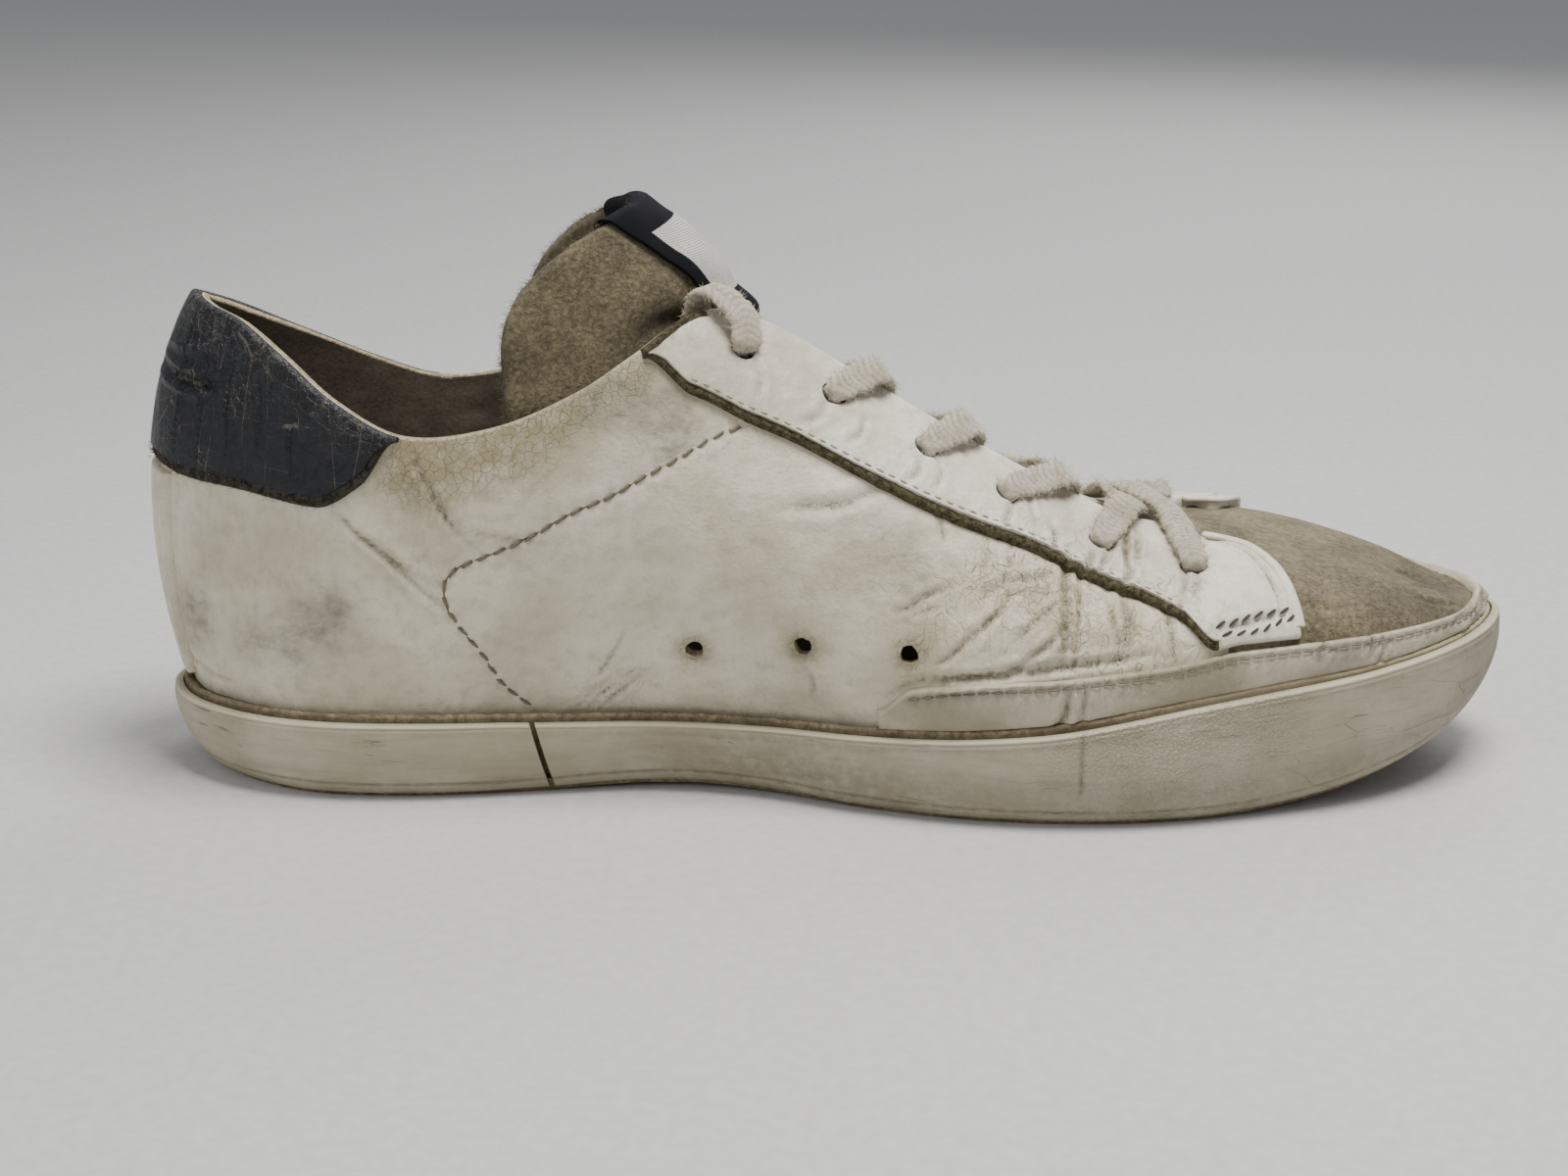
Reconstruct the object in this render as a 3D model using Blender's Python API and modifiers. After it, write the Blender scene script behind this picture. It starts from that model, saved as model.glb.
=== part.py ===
"""A worn low sneaker for the left foot, standing empty on its sole.

Units are metres, +Z is up, +X points to the toe and -Y is the inner (medial) side.
Stations are measured from the back of the heel; the finished shoe hangs on an empty
that puts the origin on the floor under the heel seat.
"""

import math

import bmesh
import bpy
import numpy as np
from mathutils import Vector

MM = 0.001

# Driving sizes of the shoe
SHOE_LENGTH = 290 * MM
BALL_WIDTH = 102 * MM
UPPER_HEIGHT = 102 * MM
TOE_SPRING = 15 * MM
ARCH_RISE = 1.3 * MM
TOE_SWING = 6 * MM
HEEL_SEAT = 0.13 * SHOE_LENGTH
BALL_STATION = 0.655 * SHOE_LENGTH

# Clearances between pieces that touch on the real shoe
GAP = 0.3 * MM
OVERLAY_GAP = 0.7 * MM

# Sole
OUTSOLE_THICKNESS = 3.2 * MM
MIDSOLE_HEEL = 12.0 * MM
MIDSOLE_TOE = 8.5 * MM
INSOLE_THICKNESS = 3.5 * MM
FOXING_HEIGHT = 17 * MM
FOXING_WALL = 2.2 * MM
FOXING_BEAD_STEP = 0.45 * MM
FOXING_LEAN = 0.5 * MM
FOXING_JOINT = 0.29 * SHOE_LENGTH
FOXING_JOINT_GAP = 1.2 * MM
FOXING_JOINT_SLANT = 2.0 * MM
OUTSOLE_INSET = 0.6 * MM
CUP_RIM = 2.0 * MM
CUP_LEDGE = 1.6 * MM
EDGE_TUCK = 4.5 * MM
EDGE_TUCK_HEIGHT = 13 * MM
HEEL_ROLL_LENGTH = 34 * MM
HEEL_ROLL_DEPTH = 0.8
HEEL_ROLL_REACH = 0.25
TREAD_DEPTH = 1.5 * MM
TREAD_GROOVE = 3.0 * MM
TREAD_PITCH = 10 * MM
TREAD_MARGIN = 9 * MM
HEEL_GROOVES = 4
BALL_GROOVES = 10

# Upper and what is sewn on it
UPPER_WALL = 2.0 * MM
STAY_THICKNESS = 1.5 * MM
TAB_THICKNESS = 1.4 * MM
STRIP_THICKNESS = 1.0 * MM
GUARD_THICKNESS = 1.3 * MM
EYELET_BORE = 5.6 * MM
VENT_BORE = 3.8 * MM
CUTTER_LENGTH = 16 * MM

# Tongue, label and lace
TONGUE_THICKNESS = 4.0 * MM
TONGUE_GAP = 0.5 * MM
LABEL_THICKNESS = 1.0 * MM
LACE_WIDTH = 6.4 * MM
LACE_THICKNESS = 2.2 * MM
LACE_ROOM = LACE_THICKNESS + 4 * GAP
LACE_SIDES = 6
LACE_STEPS = 2
LACE_OVER = OVERLAY_GAP + STAY_THICKNESS + 2 * GAP + LACE_THICKNESS / 2
LACE_UNDER = -(UPPER_WALL + 1.5 * GAP + LACE_THICKNESS / 2)
LACE_TUCKED = LACE_UNDER - 3 * GAP
LACE_EDGE_RISE = 1.3 * MM
LACE_EDGE_DIP = 0.6 * MM
LACE_BAR_RISE = 7.5 * MM
LACE_TUCK_RISE = 4.6 * MM

# Lace crossings from the top pair of eyelets down. Between its lower and its upper eyelet
# row, as shares of that way: under the eyestay, under its edge, over the other edge, on it.
LACE_CROSSINGS = (
    (-0.14, -0.08, 0.08, 0.14),
    (0.06, 0.16, 0.42, 0.72),
    (0.06, 0.16, 0.42, 0.72),
    (0.06, 0.16, 0.42, 0.72),
    (0.14, 0.28, 0.74, 0.88),
)
# Lace ends behind the eyestay, as rib row and share: the crest, then down inside
LACE_TUCK = ((9.3, 1.0), (9.28, 1.0), (9.16, 0.91), (9.0, 0.81), (8.85, 0.71))

UPPER_INSET = FOXING_WALL + GAP + CUP_RIM + GAP

# The sole seen from above: station as a share of the length, half widths as shares of
# the ball width. The first and last rows are the heel point and the toe point.
OUTLINE_COLUMNS = ("station", "medial", "lateral")
OUTLINE = (
    (0.007, 0.000, 0.000),
    (0.019, 0.113, 0.115),
    (0.041, 0.191, 0.196),
    (0.083, 0.270, 0.275),
    (0.138, 0.316, 0.322),
    (0.207, 0.323, 0.340),
    (0.293, 0.296, 0.358),
    (0.379, 0.277, 0.388),
    (0.448, 0.314, 0.425),
    (0.517, 0.392, 0.470),
    (0.586, 0.451, 0.508),
    (0.662, 0.476, 0.524),
    (0.738, 0.460, 0.515),
    (0.807, 0.412, 0.480),
    (0.869, 0.352, 0.430),
    (0.924, 0.266, 0.352),
    (0.962, 0.164, 0.256),
    (0.985, 0.062, 0.160),
    (0.997, -0.049, 0.049),
)

# Top of the side band: station share, height as a share of FOXING_HEIGHT
FOXING_TOP = (
    (0.00, 1.00),
    (0.20, 1.00),
    (0.39, 0.93),
    (0.52, 1.00),
    (0.64, 1.18),
    (0.75, 1.50),
    (0.87, 1.70),
    (0.96, 1.84),
    (1.00, 1.86),
)

# Section of the side band: share of its height, whether the bead stands back here, and
# whether the inner face has a corner at this height
FOXING_PROFILE = (
    (0.00, 0, True),
    (0.32, 0, False),
    (0.90, 0, False),
    (0.93, 1, False),
    (1.00, 1, True),
)

# Ribs of the upper from the heel (row 0) round one side to the toe. foot_x and top_x are
# shares of the length, opening (half the width between the two rims) of the ball width,
# top_z and drop (how much lower the worn lateral rim hangs) of the upper's height. lean
# is the wall's outward angle at the sole, crown the angle at which it meets its top edge,
# the pulls are handle lengths as shares of the rib.
RIB_COLUMNS = (
    "foot_x", "top_x", "opening", "top_z", "drop", "lean", "crown", "foot_pull", "top_pull",
)
RIBS = (
    (0.023, 0.0470, 0.000, 0.990, 0.000, 15, 58, 0.33, 0.30),
    (0.036, 0.0590, 0.092, 0.984, 0.030, 14, 62, 0.33, 0.30),
    (0.069, 0.0870, 0.167, 0.962, 0.060, 12, 68, 0.33, 0.30),
    (0.110, 0.1200, 0.245, 0.905, 0.062, 11, 76, 0.33, 0.30),
    (0.155, 0.1550, 0.298, 0.829, 0.040, 11, 84, 0.33, 0.30),
    (0.214, 0.2020, 0.325, 0.765, 0.020, 13, 88, 0.33, 0.30),
    (0.290, 0.2620, 0.335, 0.784, 0.020, 18, 86, 0.33, 0.30),
    (0.362, 0.3180, 0.325, 0.850, 0.030, 24, 78, 0.33, 0.32),
    (0.420, 0.3600, 0.285, 0.922, 0.040, 26, 68, 0.33, 0.34),
    (0.466, 0.3980, 0.180, 0.978, 0.050, 26, 52, 0.33, 0.36),
    (0.507, 0.4380, 0.098, 0.950, 0.055, 24, 40, 0.34, 0.38),
    (0.552, 0.5030, 0.088, 0.845, 0.055, 20, 34, 0.35, 0.40),
    (0.600, 0.5720, 0.088, 0.725, 0.055, 16, 30, 0.36, 0.42),
    (0.648, 0.6380, 0.088, 0.619, 0.050, 14, 26, 0.38, 0.42),
    (0.693, 0.6930, 0.088, 0.538, 0.035, 12, 18, 0.40, 0.42),
    (0.734, 0.7330, 0.080, 0.504, 0.015, 12, 8, 0.40, 0.42),
    (0.769, 0.7530, 0.000, 0.494, 0.000, 12, 0, 0.40, 0.46),
    (0.810, 0.7900, 0.000, 0.482, 0.000, 12, 0, 0.38, 0.48),
    (0.855, 0.8310, 0.000, 0.462, 0.000, 10, 0, 0.36, 0.48),
    (0.897, 0.8720, 0.000, 0.434, 0.000, 8, 0, 0.34, 0.46),
    (0.934, 0.9070, 0.000, 0.402, 0.000, 5, 0, 0.32, 0.42),
    (0.962, 0.9340, 0.000, 0.371, 0.000, 2, 0, 0.30, 0.38),
    (0.980, 0.9530, 0.000, 0.347, 0.000, 0, 0, 0.30, 0.34),
)
TOE_ROW = len(RIBS) - 1
THROAT_ROW = 16
SAMPLES_PER_ROW = 2
RIB_SAMPLES = 6

# Eyelets and vent holes: rib row of each hole and its share of the rib
EYELETS = ((9.55, 0.90), (10.7, 0.87), (11.7, 0.86), (12.6, 0.84), (13.8, 0.78), (15.55, 0.61))
VENTS = ((7.75, 0.22), (9.45, 0.21), (11.05, 0.22))

# Sewn-on panels: rib row, lower and upper edge as shares of the rib
EYESTAY = (
    (8.1, 0.975, 1.00),
    (8.6, 0.84, 1.00),
    (9.3, 0.74, 1.00),
    (10.2, 0.69, 1.00),
    (11.2, 0.665, 1.00),
    (12.2, 0.66, 1.00),
    (12.9, 0.655, 1.00),
    (13.5, 0.60, 1.00),
    (14.4, 0.50, 1.00),
    (15.1, 0.35, 0.99),
    (15.6, 0.19, 0.90),
    (16.2, 0.185, 0.78),
    (16.8, 0.185, 0.76),
    (17.2, 0.185, 0.55),
)
HEEL_TAB = (
    (-4.95, 0.98, 1.00),
    (-4.4, 0.78, 1.00),
    (-3.8, 0.65, 1.00),
    (-3.2, 0.605, 1.00),
    (-1.6, 0.56, 1.00),
    (0.0, 0.56, 1.00),
    (1.6, 0.56, 1.00),
    (3.2, 0.605, 1.00),
    (3.8, 0.65, 1.00),
    (4.4, 0.78, 1.00),
    (4.95, 0.98, 1.00),
)
BACK_STRIP = ((-0.8, 0.02, 0.545), (0.0, 0.02, 0.545), (0.8, 0.02, 0.545))
MUDGUARD = (
    (10.5, 0.01, 0.05),
    (11.0, 0.01, 0.12),
    (12.0, 0.01, 0.155),
    (13.5, 0.01, 0.165),
    (15.5, 0.02, 0.16),
    (17.5, 0.03, 0.16),
    (19.0, 0.03, 0.17),
    (20.5, 0.03, 0.20),
    (21.4, 0.04, 0.30),
    (22.0, 0.05, 0.42),
)

# The tongue from its seam under the vamp to its free top: rib row that its wings follow,
# share of that rib where a wing ends, share where the bridge over the throat starts
# (past 1 is above the rim), how far the middle stands forward of that start and above
# it as shares of the upper's height, and how much of the lace's room lies outside it.
TONGUE_COLUMNS = ("row", "wing", "spring", "forward", "rise", "room")
TONGUE = (
    (16.9, 0.72, 0.90, 0.000, 0.002, 0.00),
    (16.0, 0.66, 0.88, 0.000, 0.004, 0.90),
    (15.0, 0.62, 0.98, 0.000, 0.004, 1.20),
    (14.0, 0.60, 0.98, 0.000, 0.012, 1.00),
    (13.0, 0.59, 0.98, 0.000, 0.014, 1.00),
    (12.0, 0.58, 0.98, 0.000, 0.012, 1.00),
    (11.0, 0.59, 0.98, 0.000, 0.004, 1.10),
    (10.0, 0.62, 0.98, 0.055, 0.020, 1.20),
    (9.0, 0.70, 0.98, 0.145, 0.060, 1.30),
    (8.0, 0.78, 0.98, 0.194, 0.148, 1.20),
    (7.0, 0.86, 1.05, 0.232, 0.236, 0.55),
    (6.15, 0.94, 1.20, 0.253, 0.280, 0.25),
)
TONGUE_TOP = len(TONGUE) - 1
TONGUE_SEAM_ROW = 17
TONGUE_BRIDGE = 0.62
TONGUE_STEPS = 14
TONGUE_SPREAD = (0.0, 0.095, 0.19, 0.42, 0.62, 0.81, 1.0)
LABEL_STEPS = 4
LABEL_STRIPS = 2
LABEL_TOP_MARGIN = 0.12


def column(table, columns, name):
    """One named column of a table as a list."""
    index = columns.index(name)
    return [row[index] for row in table]


def catmull(values, at, start_sign=1.0, end_sign=1.0):
    """Catmull-Rom through values at whole numbers.

    Past either end the values go on as a mirror image of the row, with that end's sign.
    """
    last = len(values) - 1

    def value(index):
        if index < 0:
            mirrored = values[min(-index, last)]
            return values[0] + (mirrored - values[0]) * start_sign
        if index > last:
            mirrored = values[max(2 * last - index, 0)]
            return values[last] + (mirrored - values[last]) * end_sign
        return values[index]

    base = int(math.floor(at))
    f = at - base
    p0, p1, p2, p3 = (value(base + step) for step in (-1, 0, 1, 2))
    return 0.5 * (
        2 * p1
        + (p2 - p0) * f
        + (2 * p0 - 5 * p1 + 4 * p2 - p3) * f ** 2
        + (3 * p1 - p0 - 3 * p2 + p3) * f ** 3
    )


def table_value(table, at):
    """Smooth value between the rows of a two-column table, eased row to row."""
    xs = [row[0] for row in table]
    ys = [row[1] for row in table]
    at = min(max(at, xs[0]), xs[-1])
    index = min(int(np.searchsorted(xs, at, side="right")) - 1, len(xs) - 2)
    f = (at - xs[index]) / (xs[index + 1] - xs[index])
    return catmull(ys, index + f)


def smooth_step(value):
    """Eased 0 to 1."""
    value = min(max(value, 0.0), 1.0)
    return value * value * (3 - 2 * value)


class Outline:
    """The sole's outer line as one closed curve, asked for by side and share of the way."""

    SAMPLES_PER_POINT = 24

    def __init__(self):
        stations = column(OUTLINE, OUTLINE_COLUMNS, "station")
        medial = column(OUTLINE, OUTLINE_COLUMNS, "medial")
        lateral = column(OUTLINE, OUTLINE_COLUMNS, "lateral")
        last = len(OUTLINE) - 1
        points = [
            (stations[i] * SHOE_LENGTH, -medial[i] * BALL_WIDTH) for i in range(last + 1)
        ]
        points += [
            (stations[i] * SHOE_LENGTH, lateral[i] * BALL_WIDTH) for i in range(last - 1, 0, -1)
        ]
        self.loop = self.smooth_loop(np.array(points))
        steps = np.linalg.norm(np.roll(self.loop, -1, axis=0) - self.loop, axis=1)
        self.travel = np.concatenate(([0.0], np.cumsum(steps)))
        self.toe_travel = self.travel[last * self.SAMPLES_PER_POINT]
        closed = np.vstack((self.loop, self.loop[:1]))
        self.closed = closed

    def smooth_loop(self, points):
        """Centripetal Catmull-Rom through a closed list of points."""
        count = len(points)
        loop = []
        for i in range(count):
            p0, p1, p2, p3 = (points[(i + step) % count] for step in (-1, 0, 1, 2))
            t0 = 0.0
            t1 = t0 + np.linalg.norm(p1 - p0) ** 0.5
            t2 = t1 + np.linalg.norm(p2 - p1) ** 0.5
            t3 = t2 + np.linalg.norm(p3 - p2) ** 0.5
            for t in np.linspace(t1, t2, self.SAMPLES_PER_POINT, endpoint=False):
                a1 = p0 * (t1 - t) / (t1 - t0) + p1 * (t - t0) / (t1 - t0)
                a2 = p1 * (t2 - t) / (t2 - t1) + p2 * (t - t1) / (t2 - t1)
                a3 = p2 * (t3 - t) / (t3 - t2) + p3 * (t - t2) / (t3 - t2)
                b1 = a1 * (t2 - t) / (t2 - t0) + a2 * (t - t0) / (t2 - t0)
                b2 = a2 * (t3 - t) / (t3 - t1) + a3 * (t - t1) / (t3 - t1)
                loop.append(b1 * (t2 - t) / (t2 - t1) + b2 * (t - t1) / (t2 - t1))
        return np.array(loop)

    def travel_of(self, side, share):
        """Distance along the loop; medial runs heel to toe, lateral toe back to heel."""
        if side < 0:
            return share * self.toe_travel
        return self.travel[-1] - share * (self.travel[-1] - self.toe_travel)

    def at(self, side, share, inset=0.0):
        """Point and outward normal on one side, share 0 at the heel and 1 at the toe."""
        travel = self.travel_of(side, share)
        step = 0.8 * MM
        spots = np.array((travel - step, travel, travel + step)) % self.travel[-1]
        xs = np.interp(spots, self.travel, self.closed[:, 0])
        ys = np.interp(spots, self.travel, self.closed[:, 1])
        along = Vector((xs[2] - xs[0], ys[2] - ys[0], 0.0)).normalized()
        outward = Vector((along.y, -along.x, 0.0))
        return Vector((xs[1], ys[1], 0.0)) - outward * inset, outward

    def share_at(self, side, station, inset):
        """Share of the way round at which the inset line reaches a station."""
        shares = np.linspace(0.0, 1.0, 400)
        reached = [self.at(side, share, inset)[0].x for share in shares]
        return float(np.interp(station, np.maximum.accumulate(reached), shares))


outline = Outline()


def rib_shares(side):
    """Foot of each rib row as a share of the way round its side."""
    stations = column(RIBS, RIB_COLUMNS, "foot_x")
    inner = [outline.share_at(side, x * SHOE_LENGTH, UPPER_INSET) for x in stations[1:-1]]
    return [0.0] + inner + [1.0]


RIB_SHARES = {-1: rib_shares(-1), 1: rib_shares(1)}
RIB_TABLE = {name: column(RIBS, RIB_COLUMNS, name) for name in RIB_COLUMNS}


def fold(row):
    """Side and row for a running row number.

    0 is the heel, rising on the medial side to TOE_ROW and on to the lateral side;
    a negative number is the lateral side counted from the heel.
    """
    if row < 0:
        return 1, -row
    if row > TOE_ROW:
        return 1, 2 * TOE_ROW - row
    return -1, row


def foot_line(row, inset):
    """Point and outward normal of the sole's outline at a rib row."""
    side, k = fold(row)
    shares = RIB_SHARES[side]
    return outline.at(side, catmull(shares, k, -1.0, -1.0), inset)


def floor_height(x):
    """Underside of the sole above the floor: arch and toe spring."""
    station = x / SHOE_LENGTH
    arch_start, arch_end, spring_start = 0.25, 0.53, 0.74
    height = 0.0
    if arch_start < station < arch_end:
        phase = (station - arch_start) / (arch_end - arch_start)
        height = ARCH_RISE * math.sin(math.pi * phase) ** 2
    if station > spring_start:
        height = TOE_SPRING * ((station - spring_start) / (1 - spring_start)) ** 2
    return height


def foxing_top(x):
    """Height of the side band's top edge."""
    return FOXING_HEIGHT * table_value(FOXING_TOP, x / SHOE_LENGTH)


def ledge_top(x):
    """Height of the cup's rim, where the upper comes out of the sole."""
    return foxing_top(x) + CUP_LEDGE * min(1.0, 4.0 * (1.06 - x / SHOE_LENGTH))


def midsole_top(x):
    """Height of the surface that the insole lies on."""
    blend = smooth_step((x / SHOE_LENGTH - 0.2) / 0.45)
    thickness = MIDSOLE_HEEL + (MIDSOLE_TOE - MIDSOLE_HEEL) * blend
    return floor_height(x) + OUTSOLE_THICKNESS + GAP + thickness


def edge_tuck(x, height):
    """How far the sole's side is rolled in at a height above its underside."""
    heel = max(0.0, 1 - x / HEEL_ROLL_LENGTH)
    depth = EDGE_TUCK * (1 + HEEL_ROLL_DEPTH * heel)
    reach = EDGE_TUCK_HEIGHT * (1 + HEEL_ROLL_REACH * heel)
    return depth * max(0.0, 1 - height / reach) ** 2


def ridge_shift(x):
    """Sideways swing of the middle line towards the toe."""
    start = 0.52 * SHOE_LENGTH
    return TOE_SWING * max(0.0, (x - start) / (SHOE_LENGTH - start)) ** 1.5


def rib_value(name, k, start_sign=1.0, end_sign=1.0):
    """A column of the rib table at any row."""
    return catmull(RIB_TABLE[name], k, start_sign, end_sign)


def top_edge(row):
    """Point of the upper's top edge: collar, throat, then the ridge of the vamp."""
    side, k = fold(row)
    x = rib_value("top_x", k) * SHOE_LENGTH
    opening = 0.0
    height = rib_value("top_z", k) * UPPER_HEIGHT
    if k < THROAT_ROW:
        opening = max(0.0, rib_value("opening", k, -1.0)) * BALL_WIDTH
        if side > 0:
            height -= max(0.0, rib_value("drop", k, -1.0)) * UPPER_HEIGHT
    return Vector((x, ridge_shift(x) + side * opening, height))


def ridge_slope(k):
    """Rise of the vamp's ridge per length, nothing behind the throat."""
    k = max(k, THROAT_ROW + 0.25)
    step = 0.2
    rise = (rib_value("top_z", k + step) - rib_value("top_z", k - step)) * UPPER_HEIGHT
    run = (rib_value("top_x", k + step) - rib_value("top_x", k - step)) * SHOE_LENGTH
    return rise / run if abs(run) > 1e-7 else 0.0


def rib_handles(row):
    """The four control points of a rib and its direction at the top edge."""
    _, k = fold(row)
    foot, outward = foot_line(row, UPPER_INSET)
    foot.z = ledge_top(foot.x)
    top = top_edge(row)
    inward = Vector((top.x - foot.x, ridge_shift(top.x) - foot.y, 0.0)).normalized()
    crown = math.radians(rib_value("crown", k))
    lean = math.radians(rib_value("lean", k))
    reach = (top - foot).length
    arrival = inward * math.cos(crown)
    arrival.z = math.sin(crown) + ridge_slope(min(k, TOE_ROW - 0.3)) * inward.x * math.cos(crown)
    arrival.normalize()
    start = outward * math.sin(lean) + Vector((0, 0, math.cos(lean)))
    first = foot + start * reach * rib_value("foot_pull", k)
    second = top - arrival * reach * rib_value("top_pull", k)
    return foot, first, second, top, arrival


def bezier(a, b, c, d, t):
    """Point of a cubic curve."""
    s = 1 - t
    return a * s ** 3 + b * 3 * s * s * t + c * 3 * s * t * t + d * t ** 3


def upper_point(row, share):
    """The upper's outer face: share 0 at the sole, 1 at the top edge, more above it."""
    foot, first, second, top, arrival = rib_handles(row)
    if share > 1:
        return top + arrival * (top - foot).length * (share - 1)
    if share < 0:
        return foot + Vector((0, 0, share * (top - foot).length))
    return bezier(foot, first, second, top, share)


def upper_normal(row, share):
    """Outward normal of the upper's outer face."""
    step = 0.03
    share = min(max(share, 0.02), 0.985)
    across = upper_point(row + step, share) - upper_point(row - step, share)
    up = upper_point(row, share + 0.015) - upper_point(row, share - 0.015)
    normal = across.cross(up).normalized()
    return normal


def lifted(row, share, lift):
    """Point at a height over the upper's outer face, negative inside."""
    return upper_point(row, share) + upper_normal(row, share) * lift


def running_rows(samples):
    """Running row numbers all the way round, from the heel."""
    count = 2 * TOE_ROW * samples
    return [i / samples for i in range(count)]


# Mesh helpers


def clear_scene():
    """Remove what the opened file holds."""
    for item in list(bpy.data.objects):
        bpy.data.objects.remove(item, do_unlink=True)


def make_material(name, colour, roughness, metallic=0.0):
    """Plain surface with the part's colour."""
    material = bpy.data.materials.new(name)
    material.use_nodes = True
    shader = material.node_tree.nodes["Principled BSDF"]
    shader.inputs["Base Color"].default_value = (*colour, 1.0)
    shader.inputs["Roughness"].default_value = roughness
    shader.inputs["Metallic"].default_value = metallic
    return material


def add_object(name, bm, collection, material=None):
    """Turn a bmesh into a smooth-shaded object under the origin empty."""
    mesh = bpy.data.meshes.new(name)
    bm.to_mesh(mesh)
    bm.free()
    mesh.shade_smooth()
    mesh.set_sharp_from_angle(angle=math.radians(40))
    item = bpy.data.objects.new(name, mesh)
    collection.objects.link(item)
    item.parent = origin
    if material:
        mesh.materials.append(material)
    return item


def hide_cutter(item):
    """A cutter shapes others and is no part of the shoe."""
    item.hide_render = True
    item.display_type = "WIRE"


def grid_mesh(rows, close_rows=False, close_columns=False):
    """Open surface through rows of points; returns the bmesh."""
    bm = bmesh.new()
    grid = [[bm.verts.new(point) for point in row] for row in rows]
    row_count = len(grid)
    column_count = len(grid[0])
    for i in range(row_count if close_rows else row_count - 1):
        after = grid[(i + 1) % row_count]
        for j in range(column_count if close_columns else column_count - 1):
            k = (j + 1) % column_count
            bm.faces.new((grid[i][j], after[j], after[k], grid[i][k]))
    return bm


def cap_ends(bm, first, last):
    """Close a tube of rows with its first and last loops."""
    bm.faces.new(first)
    bm.faces.new(last)


def loft_solid(rows):
    """Closed solid through a chain of closed loops, with flat ends."""
    bm = grid_mesh(rows, close_columns=True)
    bm.verts.ensure_lookup_table()
    count = len(rows[0])
    total = len(bm.verts)
    cap_ends(bm, bm.verts[:count], bm.verts[total - count:])
    bmesh.ops.recalc_face_normals(bm, faces=bm.faces)
    return bm


def thicken(item, thickness, offset):
    """Give an open surface its wall; offset -1 is inward, 1 outward."""
    solidify = item.modifiers.new("wall", "SOLIDIFY")
    solidify.thickness = thickness
    solidify.offset = offset
    solidify.use_rim = True
    return solidify


def cut(item, cutter, operation="DIFFERENCE"):
    """Boolean of one object by another."""
    boolean = item.modifiers.new(operation.lower(), "BOOLEAN")
    boolean.operation = operation
    boolean.solver = "EXACT"
    boolean.object = cutter


# Sole pieces


def stack_solid(rings):
    """Closed solid through rings round the shoe, its two ends bridged across the foot."""
    bm = bmesh.new()
    loops = [[bm.verts.new(point) for point in ring] for ring in rings]
    count = len(loops[0])
    for lower, upper in zip(loops, loops[1:]):
        for i in range(count):
            j = (i + 1) % count
            bm.faces.new((lower[i], lower[j], upper[j], upper[i]))
    for loop in (loops[0], loops[-1]):
        half = count // 2
        for i in range(half):
            corners = [loop[i], loop[i + 1], loop[(count - i - 1) % count], loop[(count - i) % count]]
            unique = list(dict.fromkeys(corners))
            bm.faces.new(unique)
    bmesh.ops.recalc_face_normals(bm, faces=bm.faces)
    return bm


def ring(inset, height):
    """Points round the shoe; inset and height are functions of the station."""
    points = []
    for row in running_rows(SAMPLES_PER_ROW):
        outer, outward = foot_line(row, 0.0)
        point = outer - outward * inset(outer.x)
        points.append(Vector((point.x, point.y, height(outer.x))))
    return points


def side_ring(depth, rise):
    """Ring under the band: depth inside the sole's rolled side, rise above its underside."""
    return ring(
        lambda x: edge_tuck(x, rise) + depth,
        lambda x: floor_height(x) + rise,
    )


def make_outsole(collection, cutters):
    """Rubber sheet with cross grooves under heel and ball."""
    rings = [side_ring(OUTSOLE_INSET, rise) for rise in (0.0, OUTSOLE_THICKNESS)]
    material = make_material("outsole_rubber", (0.62, 0.56, 0.45), 0.75)
    item = add_object("outsole", stack_solid(rings), collection, material)
    grooves = bmesh.new()
    centres = [HEEL_SEAT + (i - (HEEL_GROOVES - 1) / 2) * TREAD_PITCH for i in range(HEEL_GROOVES)]
    centres += [
        BALL_STATION + (i - (BALL_GROOVES - 1) / 2) * TREAD_PITCH for i in range(BALL_GROOVES)
    ]
    for x in centres:
        medial = outline.at(-1, outline.share_at(-1, x, TREAD_MARGIN), TREAD_MARGIN)[0].y
        lateral = outline.at(1, outline.share_at(1, x, TREAD_MARGIN), TREAD_MARGIN)[0].y
        top = floor_height(x) + TREAD_DEPTH
        bottom = -TREAD_DEPTH
        box = bmesh.ops.create_cube(grooves, size=1.0)["verts"]
        size = (TREAD_GROOVE, lateral - medial, top - bottom)
        bmesh.ops.scale(grooves, vec=size, verts=box)
        centre = (x, (medial + lateral) / 2, (top + bottom) / 2)
        bmesh.ops.translate(grooves, vec=centre, verts=box)
    cutter = add_object("groove_cutters", grooves, cutters)
    hide_cutter(cutter)
    cut(item, cutter)
    return item


def make_midsole(collection):
    """Cup under the foot whose rim stands a little above the band."""
    low = OUTSOLE_THICKNESS + GAP
    depth = FOXING_WALL + GAP
    rings = [side_ring(depth, low)]
    rings.append(ring(lambda x: depth, foxing_top))
    rings.append(ring(lambda x: depth, ledge_top))
    rings.append(ring(lambda x: depth + CUP_RIM, ledge_top))
    rings.append(ring(lambda x: depth + CUP_RIM, midsole_top))
    material = make_material("midsole_foam", (0.52, 0.43, 0.30), 0.8)
    return add_object("midsole", stack_solid(rings), collection, material)


def make_insole(collection):
    """Footbed that fills the upper's open underside."""
    depth = UPPER_INSET + UPPER_WALL + GAP
    rings = [
        ring(lambda x: depth, lambda x: midsole_top(x) + GAP),
        ring(lambda x: depth, lambda x: midsole_top(x) + GAP + INSOLE_THICKNESS),
    ]
    material = make_material("insole_cloth", (0.30, 0.27, 0.22), 0.9)
    return add_object("insole", stack_solid(rings), collection, material)


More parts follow.
